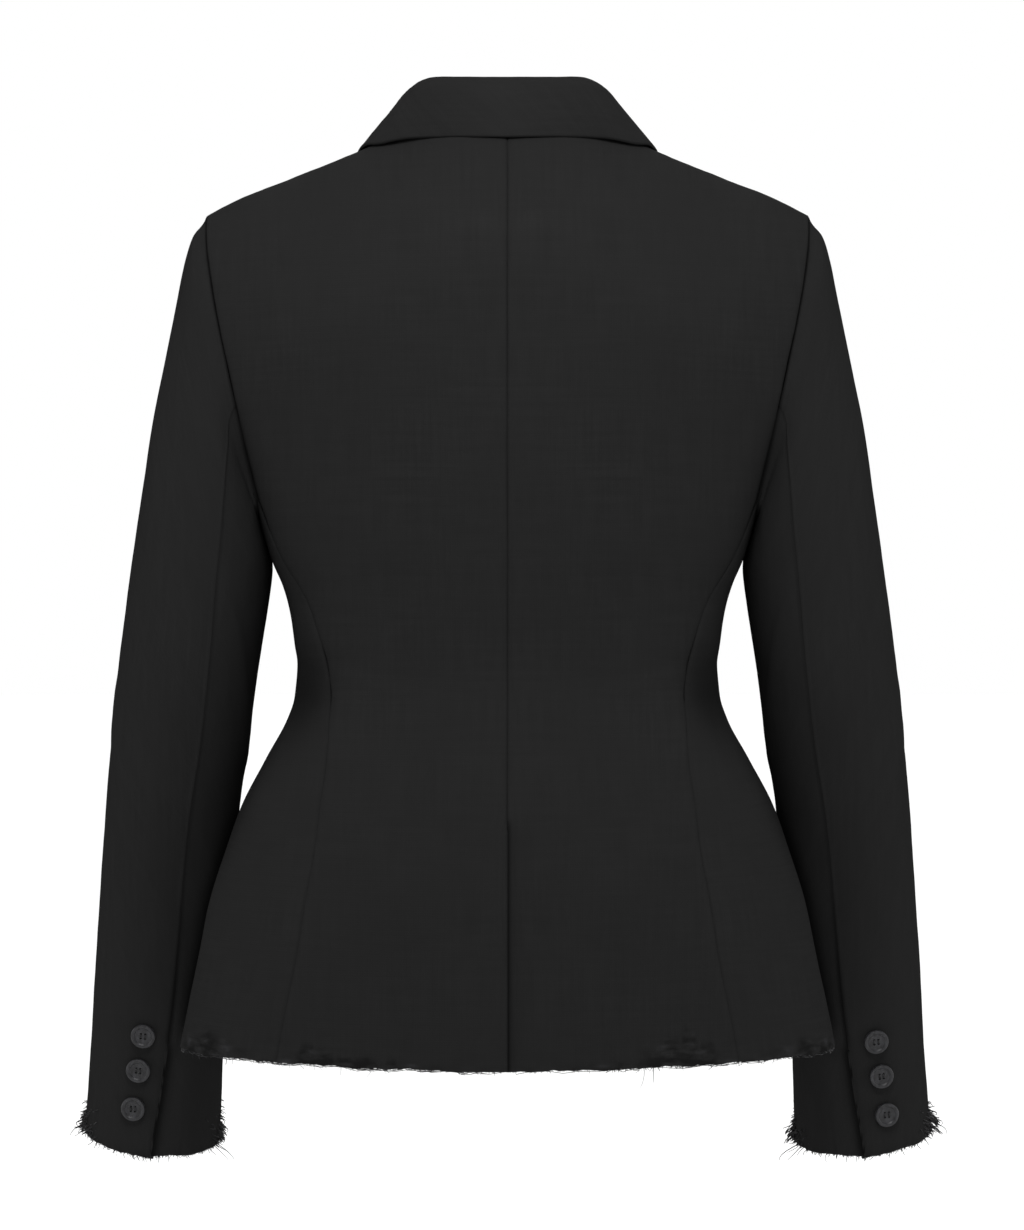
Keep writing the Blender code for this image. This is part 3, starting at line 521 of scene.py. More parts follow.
def back_panel(side, word):
    t = back_t[:, None]
    edge_x = body_edge("back", t, BACK_HEM, BACK_JOINT_Z)
    across = columns(edge_x[:, 0] - 2 * SEAM_HALF, BODY_COLUMNS) + SEAM_HALF
    share = across / edge_x
    hem = along(HEM, "z", BACK_HEM * share)
    top = neck_top(share * SHOULDER_X)
    z = panel_height(t, hem, BACK_JOINT_Z, top)
    z = z + ragged(across, 2.0 * side, t)
    middle = across - SEAM_HALF
    sides = edge_x - across - SEAM_HALF
    under = top - z
    sewn = ease(VENT_TOP_Z - 3, VENT_TOP_Z + 3, z)
    near = 1 - ease(0, VENT_SOFT, across)
    lap = near * vent_open(z)
    gape = VENT_GAPE * near * (1 - sewn) if side > 0 else 0
    y = back_y(across, z) + lap * (VENT_LIFT if side > 0 else -VENT_DROP)
    points = np.stack((across + gape + 0 * z, y, z), axis=2)
    depth = pressed(middle) * sewn
    if side > 0:
        depth = depth + rounded(middle, EDGE_ROUND) * (1 - sewn)
    firm = 0.45 + 0.55 * ease(-262, -222, z)
    depth = np.maximum(depth, pressed(sides) * firm)
    depth = np.maximum(depth, np.where(t > 1.5, pressed(under), 0))
    worn = worn_hem(side, across, z, hem)
    folds = creases(across, z, BACK_CREASES) + WAVER * uneven(across * 0.5 + z * 0.21, side)
    points = moved_out(points, folds - depth + fluffed(worn, across, z))
    marked = bell(middle, 1) * sewn
    marked = marked + np.where(t > 1, armhole_mark(sides, z), bell(sides, 1) * firm ** 1.3)
    marked = marked + np.where(t > 1.5, bell(under, 1), 0)
    # Painted shadow on the right panel beside the edge of the left panel that laps over it
    if side < 0:
        marked = marked + bell(across, 2.2) * (1 - sewn)
    keep_hem(side, points, worn)
    # Painted shade along the seams, beside the vent and at the side of the waist
    grids = [sheet_grid(points, across, z + CUT_BASE, SEAM_SHADE * marked + painted_waist_shade(across, z), worn)]
    if side < 0:
        rows = z[:, 0] < VENT_TOP_Z - 2
        lap_x = np.concatenate((np.linspace(VENT_LAP, 5, 6), (2.2, 1.0, 0)))[None, :]
        lap_z = z[rows][:, :1] + 0 * lap_x
        lap_y = back_y(lap_x, lap_z) - VENT_DROP * vent_open(lap_z)
        under_lap = np.stack((-lap_x + 0 * lap_z, lap_y, lap_z), axis=2)
        under_lap[:, -1] = points[rows][:, 0]
        # Painted shadow on the under lap beneath the edge of the left panel
        grids.append(sheet_grid(under_lap, -lap_x, lap_z + CUT_BASE, SEAM_SHADE * (1 - ease(2, 6, lap_x))))
    cloth_piece("back_" + word, side, *grids)


for side, word in SIDES:
    back_panel(side, word)

# Side panels. One panel of the same wool on each side, from the armhole to the raw hem, sewn to the
# back and the front. It widens below the waist and makes the flare of the skirt.
FRONT_SQUARE = 2.2
FRONT_REACH = 170.0
BUST_X = 78.0
BUST_Z = -222.0
BUST_WIDE = 52.0
BUST_TALL = 66.0
BUST_RISE = 14.0
FRONT_LIFT = 3.4
LIFT_FULL_X = 18.0
LIFT_END_X = 70.0
BREAK_LIFT = 4.2
BREAK_LIFT_FROM_Z = -350.0
BREAK_LIFT_TO_Z = -312.0
SIDE_CREASES = (
    (40, -332, 8, 34, 7, -0.7),
    (46, -356, -5, 40, 7, -0.6),
    (60, -520, 86, 90, 15, -0.8),
    (100, -505, 94, 90, 16, 0.7),
    (30, -280, 20, 30, 9, -0.5),
)
SIDE_CUT_X = 150.0
SIDE_LONG = 350.0
SIDE_COLUMNS = 30
SIDE_HEM = 0.3
side_t = even_rows(SIDE_LONG, 130)


def front_y(x, z, lift=0.0):
    """Depth of the front, with its bust cup; the upper front is lifted where it laps the other."""
    share = np.minimum(np.abs(x) / along(BODY, "front_half", z), 1)
    depth = along(BODY, "front_depth", z) * (1 - share ** FRONT_SQUARE) ** (1 / FRONT_SQUARE)
    cup = np.exp(-((np.abs(x) - BUST_X) / BUST_WIDE) ** 2 - ((z - BUST_Z) / BUST_TALL) ** 2)
    depth = depth + BUST_RISE * cup * (1 - share ** 2)
    raised = FRONT_LIFT + BREAK_LIFT * ease(BREAK_LIFT_FROM_Z, BREAK_LIFT_TO_Z, z)
    raised = raised * lift * (1 - ease(LIFT_FULL_X, LIFT_END_X, x))
    return -depth * rise(shoulder_z(x) - z, FRONT_REACH) - raised


def side_points(share, t):
    """Points of the side panel, by share of the way from back seam to front seam and up from the hem."""
    bottom = along(HEM, "z", BACK_HEM + SIDE_HEM * share)
    top = BACK_JOINT_Z + (FRONT_JOINT_Z - BACK_JOINT_Z) * share
    top = top + (UNDERARM_Z - 0.5 * (BACK_JOINT_Z + FRONT_JOINT_Z)) * 4 * share * (1 - share)
    z = bottom + (top - bottom) * t
    start = np.arcsin(along(SIDE_SEAMS, "back", z) ** (BACK_SQUARE / 2))
    end = math.pi - np.arcsin(along(SIDE_SEAMS, "front", z) ** (FRONT_SQUARE / 2))
    turn = start + (end - start) * share
    behind = along(BODY, "back_half", z) * np.sin(turn) ** (2 / BACK_SQUARE)
    before = along(BODY, "front_half", z) * np.sin(turn) ** (2 / FRONT_SQUARE)
    x = np.where(turn <= math.pi / 2, behind, before)
    y = np.where(turn <= math.pi / 2, back_y(behind, z), front_y(before, z))
    return np.stack((x, y, z), axis=-1)


def side_panel(side, word):
    t = side_t[:, None]
    shares = np.linspace(0, 1, 41)
    lengths = run_lengths(side_points(shares[None, :], t), 1)
    width = lengths[:, -1]
    across = columns(width - 2 * SEAM_HALF, SIDE_COLUMNS) + SEAM_HALF
    share = np.stack([np.interp(a, run, shares) for a, run in zip(across, lengths)])
    points = side_points(share, t)
    z = points[:, :, 2]
    points[:, :, 2] = z + ragged(across + SIDE_CUT_X, 1.0 + side, t)
    sides = np.minimum(across - SEAM_HALF, width[:, None] - SEAM_HALF - across)
    under = run_lengths(points[::-1], 0)[::-1]
    depth = np.maximum(pressed(sides) * 0.45, pressed(under))
    worn = worn_hem(side, points[:, :, 0], z, z[:1])
    folds = creases(across, z, SIDE_CREASES) + WAVER * uneven(across * 0.5 + z * 0.2, 3 + side)
    points = moved_out(points, folds - depth + fluffed(worn, across, z))
    marked = 0.35 * bell(sides, 1) + bell(under, 1)
    keep_hem(side, points, worn)
    # Painted shade along the seams and at the side of the waist and the skirt
    shade = SEAM_SHADE * marked + painted_waist_shade(points[:, :, 0], z)
    grid = sheet_grid(points, across + SIDE_CUT_X, z + CUT_BASE, shade, worn)
    return cloth_piece("side_" + word, side, grid)


for side, word in SIDES:
    panel = side_panel(side, word)

# Fronts. Two panels of the same wool shaped over the bust, from the side seam, armhole and shoulder to
# the free edge. The right one laps over the left one at the centre front and is buttoned there.
FRONT_LAP = 17.0
LAPS_OVER = {1: 0.0, -1: 1.0}
BREAK_Z = -300.0
FRONT_CUT_X = 330.0
FRONT_RAGGED_X = 320.0
FRONT_HEM_FROM = 0.7
FRONT_HEM = 0.3
FRONT_CREASES = (
    (142, -160, 100, 60, 11, -1.0),
    (128, -205, 112, 44, 10, -0.7),
    (96, -336, -8, 42, 8, -0.8),
    (90, -358, 5, 46, 7, -0.7),
    (50, -330, -16, 30, 8, 0.5),
    (46, -396, 12, 34, 8, -0.5),
    (70, -520, 92, 100, 16, -0.9),
    (118, -512, 98, 90, 15, 0.7),
    (110, -270, 60, 40, 12, 0.5),
)


def fold_x(z):
    """Half width of the front's free edge: straight to the break, then the fold line of the lapel."""
    share = np.clip((z - BREAK_Z) / (shoulder_z(NECK_X) - BREAK_Z), 0, 1)
    return -FRONT_LAP + (NECK_X + FRONT_LAP) * share


def front_panel(side, word):
    t = back_t[:, None]
    edge_x = body_edge("front", t, FRONT_HEM_FROM, FRONT_JOINT_Z)
    free_z = panel_height(t, along(HEM, "z", 1.0), FRONT_JOINT_Z, shoulder_z(NECK_X))
    width = edge_x - fold_x(free_z)
    across = columns(width[:, 0] - 2 * SEAM_HALF, BODY_COLUMNS) + SEAM_HALF
    share = across / width
    hem = along(HEM, "z", FRONT_HEM_FROM + FRONT_HEM * share)
    top = shoulder_z(SHOULDER_X + (NECK_X - SHOULDER_X) * share)
    z = panel_height(t, hem, FRONT_JOINT_Z, top)
    z = z + ragged(across + FRONT_RAGGED_X, 4.0 + side, t)
    x = edge_x - across
    points = np.stack((x, front_y(x, z, LAPS_OVER[side]), z), axis=2)
    free = width - SEAM_HALF - across
    under = top - z
    depth = np.maximum(pressed(across - SEAM_HALF), np.where(t > 1.5, pressed(under), 0))
    depth = np.maximum(depth, rounded(free, EDGE_ROUND))
    folds = creases(np.abs(x), z, FRONT_CREASES) + WAVER * uneven(across * 0.5 + z * 0.22, 6 + side)
    worn = hem_wear(z, hem)
    points = moved_out(points, folds * ease(0, 24, free) - depth)
    marked = bell(across - SEAM_HALF, 1) + np.where(t > 1.5, bell(under, 1), 0)
    keep_hem(side, points, worn)
    grid = sheet_grid(points, across + FRONT_CUT_X, z + CUT_BASE, SEAM_SHADE * marked, worn)
    return cloth_piece("front_" + word, side, grid)


for side, word in SIDES:
    panel = front_panel(side, word)

# Lapels. The turned-back tops of the fronts, faced with the same wool and rolled, not pressed flat,
# along the fold. They lie on the fronts and end beside the collar at the gorge.
LAPEL_TOP_Z = -9.0
LAPEL_GAP = 0.7
LAPEL_ROLL = 2.2
LAPEL_CUT_X = 560.0
LAPEL_LONG = 330.0
LAPEL_COLUMNS = 30
SLOPE_STEP = 0.5
LAPEL = table(
    "at edge_x edge_z",
    (0, -11, -296),
    (0.25, 36, -232),
    (0.5, 75, -168),
    (0.75, 104, -112),
    (0.9, 117, -82),
    (1.0, 122, -68),
)


def lapel(side, word):
    lift = LAPS_OVER[side]
    share = even_rows(LAPEL_LONG, 90)[:, None]
    fold_z = BREAK_Z + (LAPEL_TOP_Z - BREAK_Z) * share
    start_x = fold_x(fold_z)
    wide = along(LAPEL, "edge_x", share) - start_x
    tall = along(LAPEL, "edge_z", share) - fold_z
    width = np.hypot(wide, tall)
    turn = np.linspace(180, 20, 9)[None, :]
    flat = columns(width[:, 0], LAPEL_COLUMNS)[:, 2:]
    over = np.concatenate((0 * turn + 0 * share, flat), axis=1) / width
    x = start_x + wide * over
    z = fold_z + tall * over
    base = np.stack((x, front_y(x, z, lift), z), axis=2)
    step = SLOPE_STEP
    slope_x = (front_y(x + step, z, lift) - front_y(x - step, z, lift)) / (2 * step)
    slope_z = (front_y(x, z + step, lift) - front_y(x, z - step, lift)) / (2 * step)
    normal = unit(np.stack((slope_x, -np.ones_like(slope_x), slope_z), axis=2))
    out = CLOTH + LAPEL_GAP + LAPEL_ROLL * np.exp(-6 * over) * ease(0, 0.2, share)
    inward = np.stack((wide, 0 * start_x, tall), axis=2)
    inward = inward / np.maximum(np.linalg.norm(inward, axis=2), 1e-6)[:, :, None]
    angle = np.radians(np.concatenate((turn, np.zeros((1, flat.shape[1]))), axis=1)) * np.ones_like(over)
    rolled = np.arange(over.shape[1])[None, :] < turn.shape[1]
    height = np.where(rolled, 0.5 * out * (1 + np.cos(angle)), out)
    back = np.where(rolled, 0.5 * out * np.sin(angle), 0)
    top = run_lengths(base, 0)
    top = top[-1:] - top
    fall = np.maximum(rounded(np.maximum(width - over * width, 0), EDGE_ROUND), rounded(top, EDGE_ROUND))
    points = base + normal * (height - fall)[:, :, None] - inward * back[:, :, None]
    across = run_lengths(points, 1) + LAPEL_CUT_X
    # Painted shade line along the top edge of the lapel, at the notch beside the collar
    grid = sheet_grid(points, across, run_lengths(points, 0), 0.7 * bell(top, 1), 0, -1)
    return cloth_piece("lapel_" + word, side, grid)


for side, word in SIDES:
    turned = lapel(side, word)

# Collar. The fall is one strip of wool that rolls over the top of its stand and lies on the back and
# the lapels; the stand is a narrower strip sewn to the neckline and hidden inside the fold.
COLLAR_BULGE = 1.8
FOLD_SHARE = 0.16
FOLD_INWARD = 3.2
FOLD_RISE = 1.2
STAND_CLOTH = 1.6
STAND_INWARD = 5.8
STAND_BELOW = 1.6
STAND_END = 6.2
NECK_MIDDLE_Y = -10.0
COLLAR_CUT_X = 700.0
STAND_CUT_X = 1200.0
COLLAR = table(
    "at roll_x roll_y roll_z edge_x edge_y edge_z foot_x foot_y foot_z",
    (-1, -31.5, 48.5, 44.2, -36, 54.8, 4.2, -30, 45.6, 8.2),
    (0, 0, 53, 44, 0, 66.3, 3.2, 0, 54, 8),
    (1, 31.5, 48.5, 44.2, 36, 54.8, 4.2, 30, 45.6, 8.2),
    (2, 52.5, 36, 45.2, 65, 34.5, 5.1, 52, 27.7, 8.6),
    (3, 61, 20, 42.3, 83.5, 19.5, 3.6, 66, 12.6, 9.4),
    (4, 64, 4, 35, 94.8, 4, 3.8, 71.5, 1, 10.5),
    (5, 65.5, -10, 25, 101, -15, -5.5, 70.5, -9, 7),
    (6, 66.5, -23, 12, 105, -34, -22.5, 69, -20, 1.5),
    (7, 67.5, -36, -3, 104, -54, -38, 66.5, -29, -7),
)


def collar_line(kind, place):
    """Fold line, outer edge or foot of the collar; places under 0 are on the right side."""
    line = np.stack([along(COLLAR, kind + "_" + axis, np.abs(place)) for axis in "xyz"], axis=-1)
    line[..., 0] = line[..., 0] * np.where(place < 0, -1, 1)
    return line


place = np.linspace(-7, 7, 201)[None, :]
fall_rows = (np.linspace(0, 0.2, 12)[:-1], np.linspace(0.2, 0.97, 30), (0.98, 0.99, 0.996, 1.0))
fall_share = np.concatenate(fall_rows)[::-1][:, None]
roll_line = collar_line("roll", place)
edge_line = collar_line("edge", place)
down = unit(edge_line - roll_line)
reach = edge_line - collar_line("foot", place)
out = unit(reach - np.sum(reach * down, axis=2)[:, :, None] * down)
turned = np.maximum(1 - fall_share / FOLD_SHARE, 0)
bulge = COLLAR_BULGE * np.sin(math.pi * fall_share ** 0.7) - FOLD_INWARD * turned ** 1.5
depth = np.linalg.norm(edge_line - roll_line, axis=2)
bulge = bulge - rounded((1 - fall_share) * depth, 1.4) + 0.35 * uneven(place * 17 + 30 * fall_share, 1.0)
points = edge_line + (roll_line - edge_line) * (1 - fall_share)[:, :, None] + out * bulge[:, :, None]
points = points - down * (FOLD_RISE * turned * (1 - turned))[:, :, None]
grid = sheet_grid(points, run_lengths(points, 1) + COLLAR_CUT_X, run_lengths(points, 0), turn=-1)
collar = cloth_piece("collar", 1, grid)

place = np.linspace(-STAND_END, STAND_END, 161)[None, :]
stand_share = np.linspace(0, 1, 13)[:, None]
foot_line = collar_line("foot", place)
inward = unit(np.stack((-foot_line[:, :, 0], NECK_MIDDLE_Y - foot_line[:, :, 1], 0 * place), axis=2))
top_line = collar_line("roll", place) + inward * STAND_INWARD - np.array((0, 0, STAND_BELOW))
points = foot_line + (top_line - foot_line) * stand_share[:, :, None]
grid = sheet_grid(points, run_lengths(points, 1) + STAND_CUT_X, run_lengths(points, 0), turn=-1)
stand = cloth_piece("collar_stand", 1, grid, thick=STAND_CLOTH)

# Sleeves. Each is cut in two pieces of the same wool: the top sleeve over the outside and the under
# sleeve inside, with a seam down the back that opens into a short vent at the cuff, where the top
# sleeve laps over.
ARMHOLE_GAP = 0.5
BACK_SEAM_STEP = 7.0
FRONT_SEAM_STEP = 16.0
ARMHOLE_STEPS = 23.0
CUFF_VENT_RING = 14.6
CUFF_LAP_ANGLE = 25.0
CUFF_DROP = 2.7
CUFF_RAW = 3.2
CAP_ROLL = 0.9
SLEEVE_CUT_TOP = 700.0
UNDER_CUT_X = 260.0
TOP_COLUMNS = 56
UNDER_COLUMNS = 36
UNDERARM_STEPS = (9, 14)
RING_SQUARE = 0.93
SLEEVE = table(
    "at outer_x outer_z inner_x inner_z mid_y depth slant fade",
    (0, 195.5, -42, 160.4, -237, -2, 50, 0, 1.0),
    (1, 204, -53, 161, -240, -4, 51, 0, 0.86),
    (2, 210, -70, 160.8, -243, -6.5, 51, 0, 0.66),
    (3, 215.5, -97, 158.6, -247, -8.5, 51.5, 0, 0.45),
    (4, 221.5, -126, 156.8, -253, -10.5, 52.5, 0, 0.28),
    (5, 229.5, -166, 154.6, -261, -12.5, 53, 0, 0.14),
    (6, 236.5, -208, 153.8, -273, -14, 53.5, 0.01, 0.06),
    (7, 243, -250, 156, -291, -16.5, 53, 0.03, 0.02),
    (8, 249, -292, 160, -316, -20.5, 52, 0.05, 0),
    (9, 255, -335, 165, -347, -27, 51.5, 0.08, 0),
    (10, 260, -379, 170, -385, -36, 49, 0.11, 0),
    (11, 264.5, -422, 176.5, -425, -45, 46.5, 0.13, 0),
    (12, 268.5, -465, 180.5, -467, -57, 44.5, 0.15, 0),
    (13, 272, -508, 184.5, -510, -69, 42.5, 0.18, 0),
    (14, 275.7, -551, 188, -553, -80, 41, 0.21, 0),
    (15, 278.7, -589, 190.5, -592, -89, 39.5, 0.24, 0),
    (16, 281, -616, 191.7, -621, -94.5, 38.7, 0.27, 0),
    (17, 283.5, -641, 193, -648, -99, 38.2, 0.3, 0),
)
SLEEVE_SEAMS = table(
    "at back front",
    (0, 104, 240),
    (7, 105, 238),
    (9, 109, 236),
    (12, 105, 235),
    (14, 102.5, 235),
    (15, 99, 235),
    (17, 91.5, 235),
)
BACK_ARM = table("at share", *zip(range(10), (1.0, 0.97, 0.92, 0.84, 0.74, 0.62, 0.48, 0.32, 0.16, 0)))
FRONT_ARM = table("at share", *zip(range(14, 24), (0, 0.16, 0.32, 0.48, 0.62, 0.74, 0.84, 0.92, 0.97, 1.0)))

# Soft creases of the sleeves: millimetres across from the back seam and down the arm
TOP_CREASES = (
    (40, 300, 24, 40, 9, -0.8),
    (60, 326, 18, 46, 9, -0.9),
    (36, 352, 10, 42, 8, -0.7),
    (110, 310, -20, 40, 9, -0.8),
    (120, 345, -14, 44, 9, 0.6),
    (90, 130, 70, 60, 14, -0.5),
    (70, 480, 80, 60, 13, -0.5),
)
UNDER_CREASES = (
    (30, 130, 40, 36, 8, -1.0),
    (50, 160, 30, 40, 8, -0.8),
    (40, 270, -18, 40, 8, -1.0),
    (60, 296, -10, 40, 8, -1.1),
    (44, 322, 4, 36, 8, -0.8),
    (50, 430, 80, 60, 12, -0.5),
)


def ring_point(ring, angle):
    """Point on one plain sleeve ring, at an angle from its outer point towards the back."""
    turn = np.radians(angle)
    c, s = [np.sign(part) * np.abs(part) ** RING_SQUARE for part in (np.cos(turn), np.sin(turn))]
    outer_x, outer_z, inner_x, inner_z = [
        along(SLEEVE, name, ring) for name in ("outer_x", "outer_z", "inner_x", "inner_z")]
    away = along(SLEEVE, "depth", ring) * s
    x = 0.5 * (outer_x + inner_x) + 0.5 * (outer_x - inner_x) * c
    y = along(SLEEVE, "mid_y", ring) + away
    z = 0.5 * (outer_z + inner_z) + 0.5 * (outer_z - inner_z) * c - along(SLEEVE, "slant", ring) * away
    return np.stack(np.broadcast_arrays(x, y, z), axis=-1)


def armhole_point(step):
    """Armhole from the shoulder, at 0, round the back, the underarm and the front to the shoulder again."""
    step = np.mod(step, ARMHOLE_STEPS)
    first, last = UNDERARM_STEPS
    back_z = BACK_JOINT_Z + (shoulder_z(SHOULDER_X) - BACK_JOINT_Z) * along(BACK_ARM, "share", step)
    back_x = along(ARMHOLE, "back", back_z)
    front_z = FRONT_JOINT_Z + (shoulder_z(SHOULDER_X) - FRONT_JOINT_Z) * along(FRONT_ARM, "share", step)
    front_x = along(ARMHOLE, "front", front_z)
    back = np.stack((back_x, back_y(back_x, back_z), back_z), axis=-1)
    front = np.stack((front_x, front_y(front_x, front_z), front_z), axis=-1)
    below = side_points(np.clip((step - first) / (last - first), 0, 1), np.ones_like(step))
    picked = np.where((step < first)[..., None], back, np.where((step <= last)[..., None], below, front))
    return picked + np.array((ARMHOLE_GAP, 0, 0))


def sleeve_point(ring, step):
    """Point of the sleeve on a ring, for a step round the armhole; the front seam has a step under 0 too."""
    back = along(SLEEVE_SEAMS, "back", ring)
    front = along(SLEEVE_SEAMS, "front", ring)
    start = FRONT_SEAM_STEP - ARMHOLE_STEPS
    under = back + (front - back) * (step - BACK_SEAM_STEP) / (FRONT_SEAM_STEP - BACK_SEAM_STEP)
    over = front - 360 + (back - front + 360) * (step - start) / (BACK_SEAM_STEP - start)
    even = np.where(step > BACK_SEAM_STEP, under, over)
    seat = armhole_point(step)
    outer = ring_point(0, 0)
    inner = ring_point(0, 180)
    axis = 0.5 * (outer - inner)
    middle = 0.5 * (outer + inner)
    c = (seat - middle) @ axis / (axis @ axis)
    s = (seat[..., 1] - middle[1]) / along(SLEEVE, "depth", 0)
    own = np.degrees(np.arctan2(s, c)) % 360
    own = own - 360 * np.rint((own - even) / 360)
    fade = along(SLEEVE, "fade", ring)
    angle = even + (own - even) * fade
    return ring_point(ring, angle) + (seat - ring_point(0 * ring, own)) * np.asarray(fade)[..., None]


def ring_rows(count):
    """Rings down the sleeve, close together at the armhole and the cuff."""
    return np.concatenate(((0, 0.04, 0.09, 0.16, 0.26, 0.4, 0.6, 0.8), np.linspace(1, 16.6, count),
                           (16.75, 16.86, 16.93, 16.97, 17.0)))[:, None]


def painted_skirt_shadow(points):
    """Painted shadow on the under sleeve where it hangs close beside the skirt."""
    z = points[:, :, 2]
    clear = points[:, :, 0] - along(BODY, "back_half", z)
    return 1.5 * (1 - ease(0, 13, clear)) * ease(-600, -564, z) * (1 - ease(-432, -404, z))


def sleeve_half(node, start, end, count, folds_of, side):
    """Top or under sleeve between two seams; a vent at the cuff leaves the back seam open."""
    ring = ring_rows(130)
    steps = np.linspace(start, end, 61)
    lengths = run_lengths(sleeve_point(ring, steps[None, :] + 0 * ring), 1)
    width = lengths[:, -1:]
    across = columns(width[:, 0] - 2 * SEAM_HALF, count) + SEAM_HALF
    step = np.stack([np.interp(a, run, steps) for a, run in zip(across, lengths)])
    points = sleeve_point(ring + 0 * step, step)
    upper = end == BACK_SEAM_STEP
    front = across - SEAM_HALF
    back = width - SEAM_HALF - across
    if not upper:
        front, back = back, front
    sewn = 1 - ease(CUFF_VENT_RING - 0.15, CUFF_VENT_RING + 0.15, ring)
    down = run_lengths(points, 0)
    raw = 0.9 * uneven(across, 7 + side) - CUFF_RAW
    if upper:
        raw = raw - 1.6 * bell(back, 14)
    points[:, :, 2] = points[:, :, 2] + raw * ease(16.2, 17, ring)
    depth = np.maximum(pressed(back) * sewn * (0.2 + 0.3 * ease(4, 40, down)), pressed(front))
    depth = np.maximum(depth, pressed(down) * (1 - 0.6 * ease(-100, -45, points[:1, :, 2])))
    if upper:
        depth = depth + rounded(back, EDGE_ROUND) * (1 - sewn)
    else:
        open_cuff = ease(CUFF_VENT_RING - 0.7, CUFF_VENT_RING + 0.2, ring)
        depth = depth + CUFF_DROP * (1 - ease(0, 11, back)) * open_cuff
    cap = CAP_ROLL * bell(down - 7, 5) * ease(-170, -100, points[:1, :, 2])
    folds = creases(back, down, folds_of) + WAVER * uneven(across * 0.5 + down * 0.23, 9 + side + end)
    folds = (folds + cap) * ease(0, 5, np.minimum(back, front))
    worn = 0.5 * ease(16.75, 17, ring) * (0.6 + 0.4 * np.sin(across * 0.4 + side))
    # On the sleeves these offsets turn over: the seams stand out as low ridges
    points = moved_out(points, depth - folds)
    # Painted shade along the back seam, stronger and wider towards the cuff vent
    lower_seam_shade = ease(11.8, 14, ring)
    marked = (0.35 + 0.65 * lower_seam_shade) * bell(back, 1 + 0.8 * lower_seam_shade) * sewn
    marked = marked + bell(front, 1) + armhole_mark(down, points[:1, :, 2])
    if upper:
        grids = [sheet_grid(points, across, SLEEVE_CUT_TOP - down, SEAM_SHADE * marked, worn, -1)]
    else:
        # Painted shadow on the under sleeve beside the lapping top sleeve at the cuff vent, and where it
        # hangs by the skirt
        marked = marked + 1.3 * bell(back, 4.2) * (1 - sewn)
        marked = marked + painted_skirt_shadow(points)
        cut_x = across + UNDER_CUT_X
        grids = [sheet_grid(points, cut_x, SLEEVE_CUT_TOP - down, SEAM_SHADE * marked, worn, -1)]
        rows = ring[:, 0] >= CUFF_VENT_RING
        lap = np.concatenate((np.linspace(1, 0.08, 8), (0,)))[None, :]
        lap_ring = ring[rows]
        angle = along(SLEEVE_SEAMS, "back", lap_ring) - CUFF_LAP_ANGLE * lap
        plain = ring_point(lap_ring + 0 * angle, angle)
        middle = 0.5 * (ring_point(lap_ring, 0) + ring_point(lap_ring, 180))
        plain = plain + unit(middle - plain) * (CUFF_DROP + 0.15)
        plain[:, -1] = points[rows][:, 0]
        grids.append(sheet_grid(plain, UNDER_CUT_X - 20 * lap, SLEEVE_CUT_TOP - down[rows][:, :1], turn=-1))
    cuffs[side].append(points[-1])
    return cloth_piece(node, side, *grids)


cuffs = {1: [], -1: []}
for side, word in SIDES:
    sleeve_half("top_sleeve_" + word, FRONT_SEAM_STEP - ARMHOLE_STEPS, BACK_SEAM_STEP,
                TOP_COLUMNS, TOP_CREASES, side)
    under_sleeve = sleeve_half("under_sleeve_" + word, BACK_SEAM_STEP, FRONT_SEAM_STEP,
                               UNDER_COLUMNS, UNDER_CREASES, side)

# Buttons. Three on each cuff and three down the front, turned from dull black horn with a raised rim, a
# shallow dish and four holes, and sewn on with two bars of black thread.
BUTTON_RADIUS = 8.0
BUTTON_HEIGHT = 3.2
BUTTON_GAP = 0.4
RIM_WIDE = 1.7
DISH_SLOPE = 0.9
DISH_DEEP = 1.0
FLOOR_STEP = 1.2
FLOOR_DEEP = 0.15
RIM_ROUND = 0.4
BACK_ROUND = 0.9
HOLE_REACH = 2.0
HOLE_RADIUS = 0.8
DRILL_LONG = 10
STITCH_RADIUS = 0.3
FRONT_BUTTON_Z = (-318.0, -378.0, -438.0)
CUFF_BUTTONS = {
    1: ((14.43, 82.1), (15.06, 79.6), (15.98, 77.0)),
    -1: ((14.53, 79.1), (15.19, 76.2), (16.14, 73.4)),
}
HORN_DARK = "#101011"
HORN_LIGHT = "#1E1E20"
THREAD_DARK = "#0A0A0A"
THREAD_LIGHT = "#222223"


def tubes(name, paths, radii, sides):
    """Threads of yarn as one mesh of thin closed tubes, from each thread's points and sizes."""
    count, stops = paths.shape[:2]
    way = unit(np.gradient(paths, axis=1))
    other = np.where(np.abs(way[:, :1, 2:]) < 0.8, np.array((0, 0, 1.0)), np.array((1.0, 0, 0)))
    first = unit(np.cross(way, other))
    second = np.cross(way, first)
    turn = 2 * math.pi * np.arange(sides)[:, None] / sides
    ring = first[:, :, None] * np.cos(turn) + second[:, :, None] * np.sin(turn)
    points = paths[:, :, None] + ring * radii[:, :, None, None]
    number = np.arange(count * stops * sides).reshape(count, stops, sides)
    low = number[:, :-1]
    high = number[:, 1:]
    wall = np.stack((low, np.roll(low, -1, 2), np.roll(high, -1, 2), high), axis=-1).reshape(-1, 4)
    caps = np.concatenate((number[:, 0, ::-1], number[:, -1]))
    mesh = bpy.data.meshes.new(name)
    mesh.from_pydata((points.reshape(-1, 3) * MM).tolist(), [], wall.tolist() + caps.tolist())
    mesh.update()
    mesh.materials.append(yarn)
    piece = bpy.data.objects.new(name, mesh)
    bpy.context.scene.collection.objects.link(piece)
    pick(piece)
    bpy.ops.object.mode_set(mode="EDIT")
    bpy.ops.mesh.select_all(action="SELECT")
    bpy.ops.mesh.normals_make_consistent(inside=False)
    bpy.ops.object.mode_set(mode="OBJECT")
    bpy.ops.object.shade_smooth()
    return piece


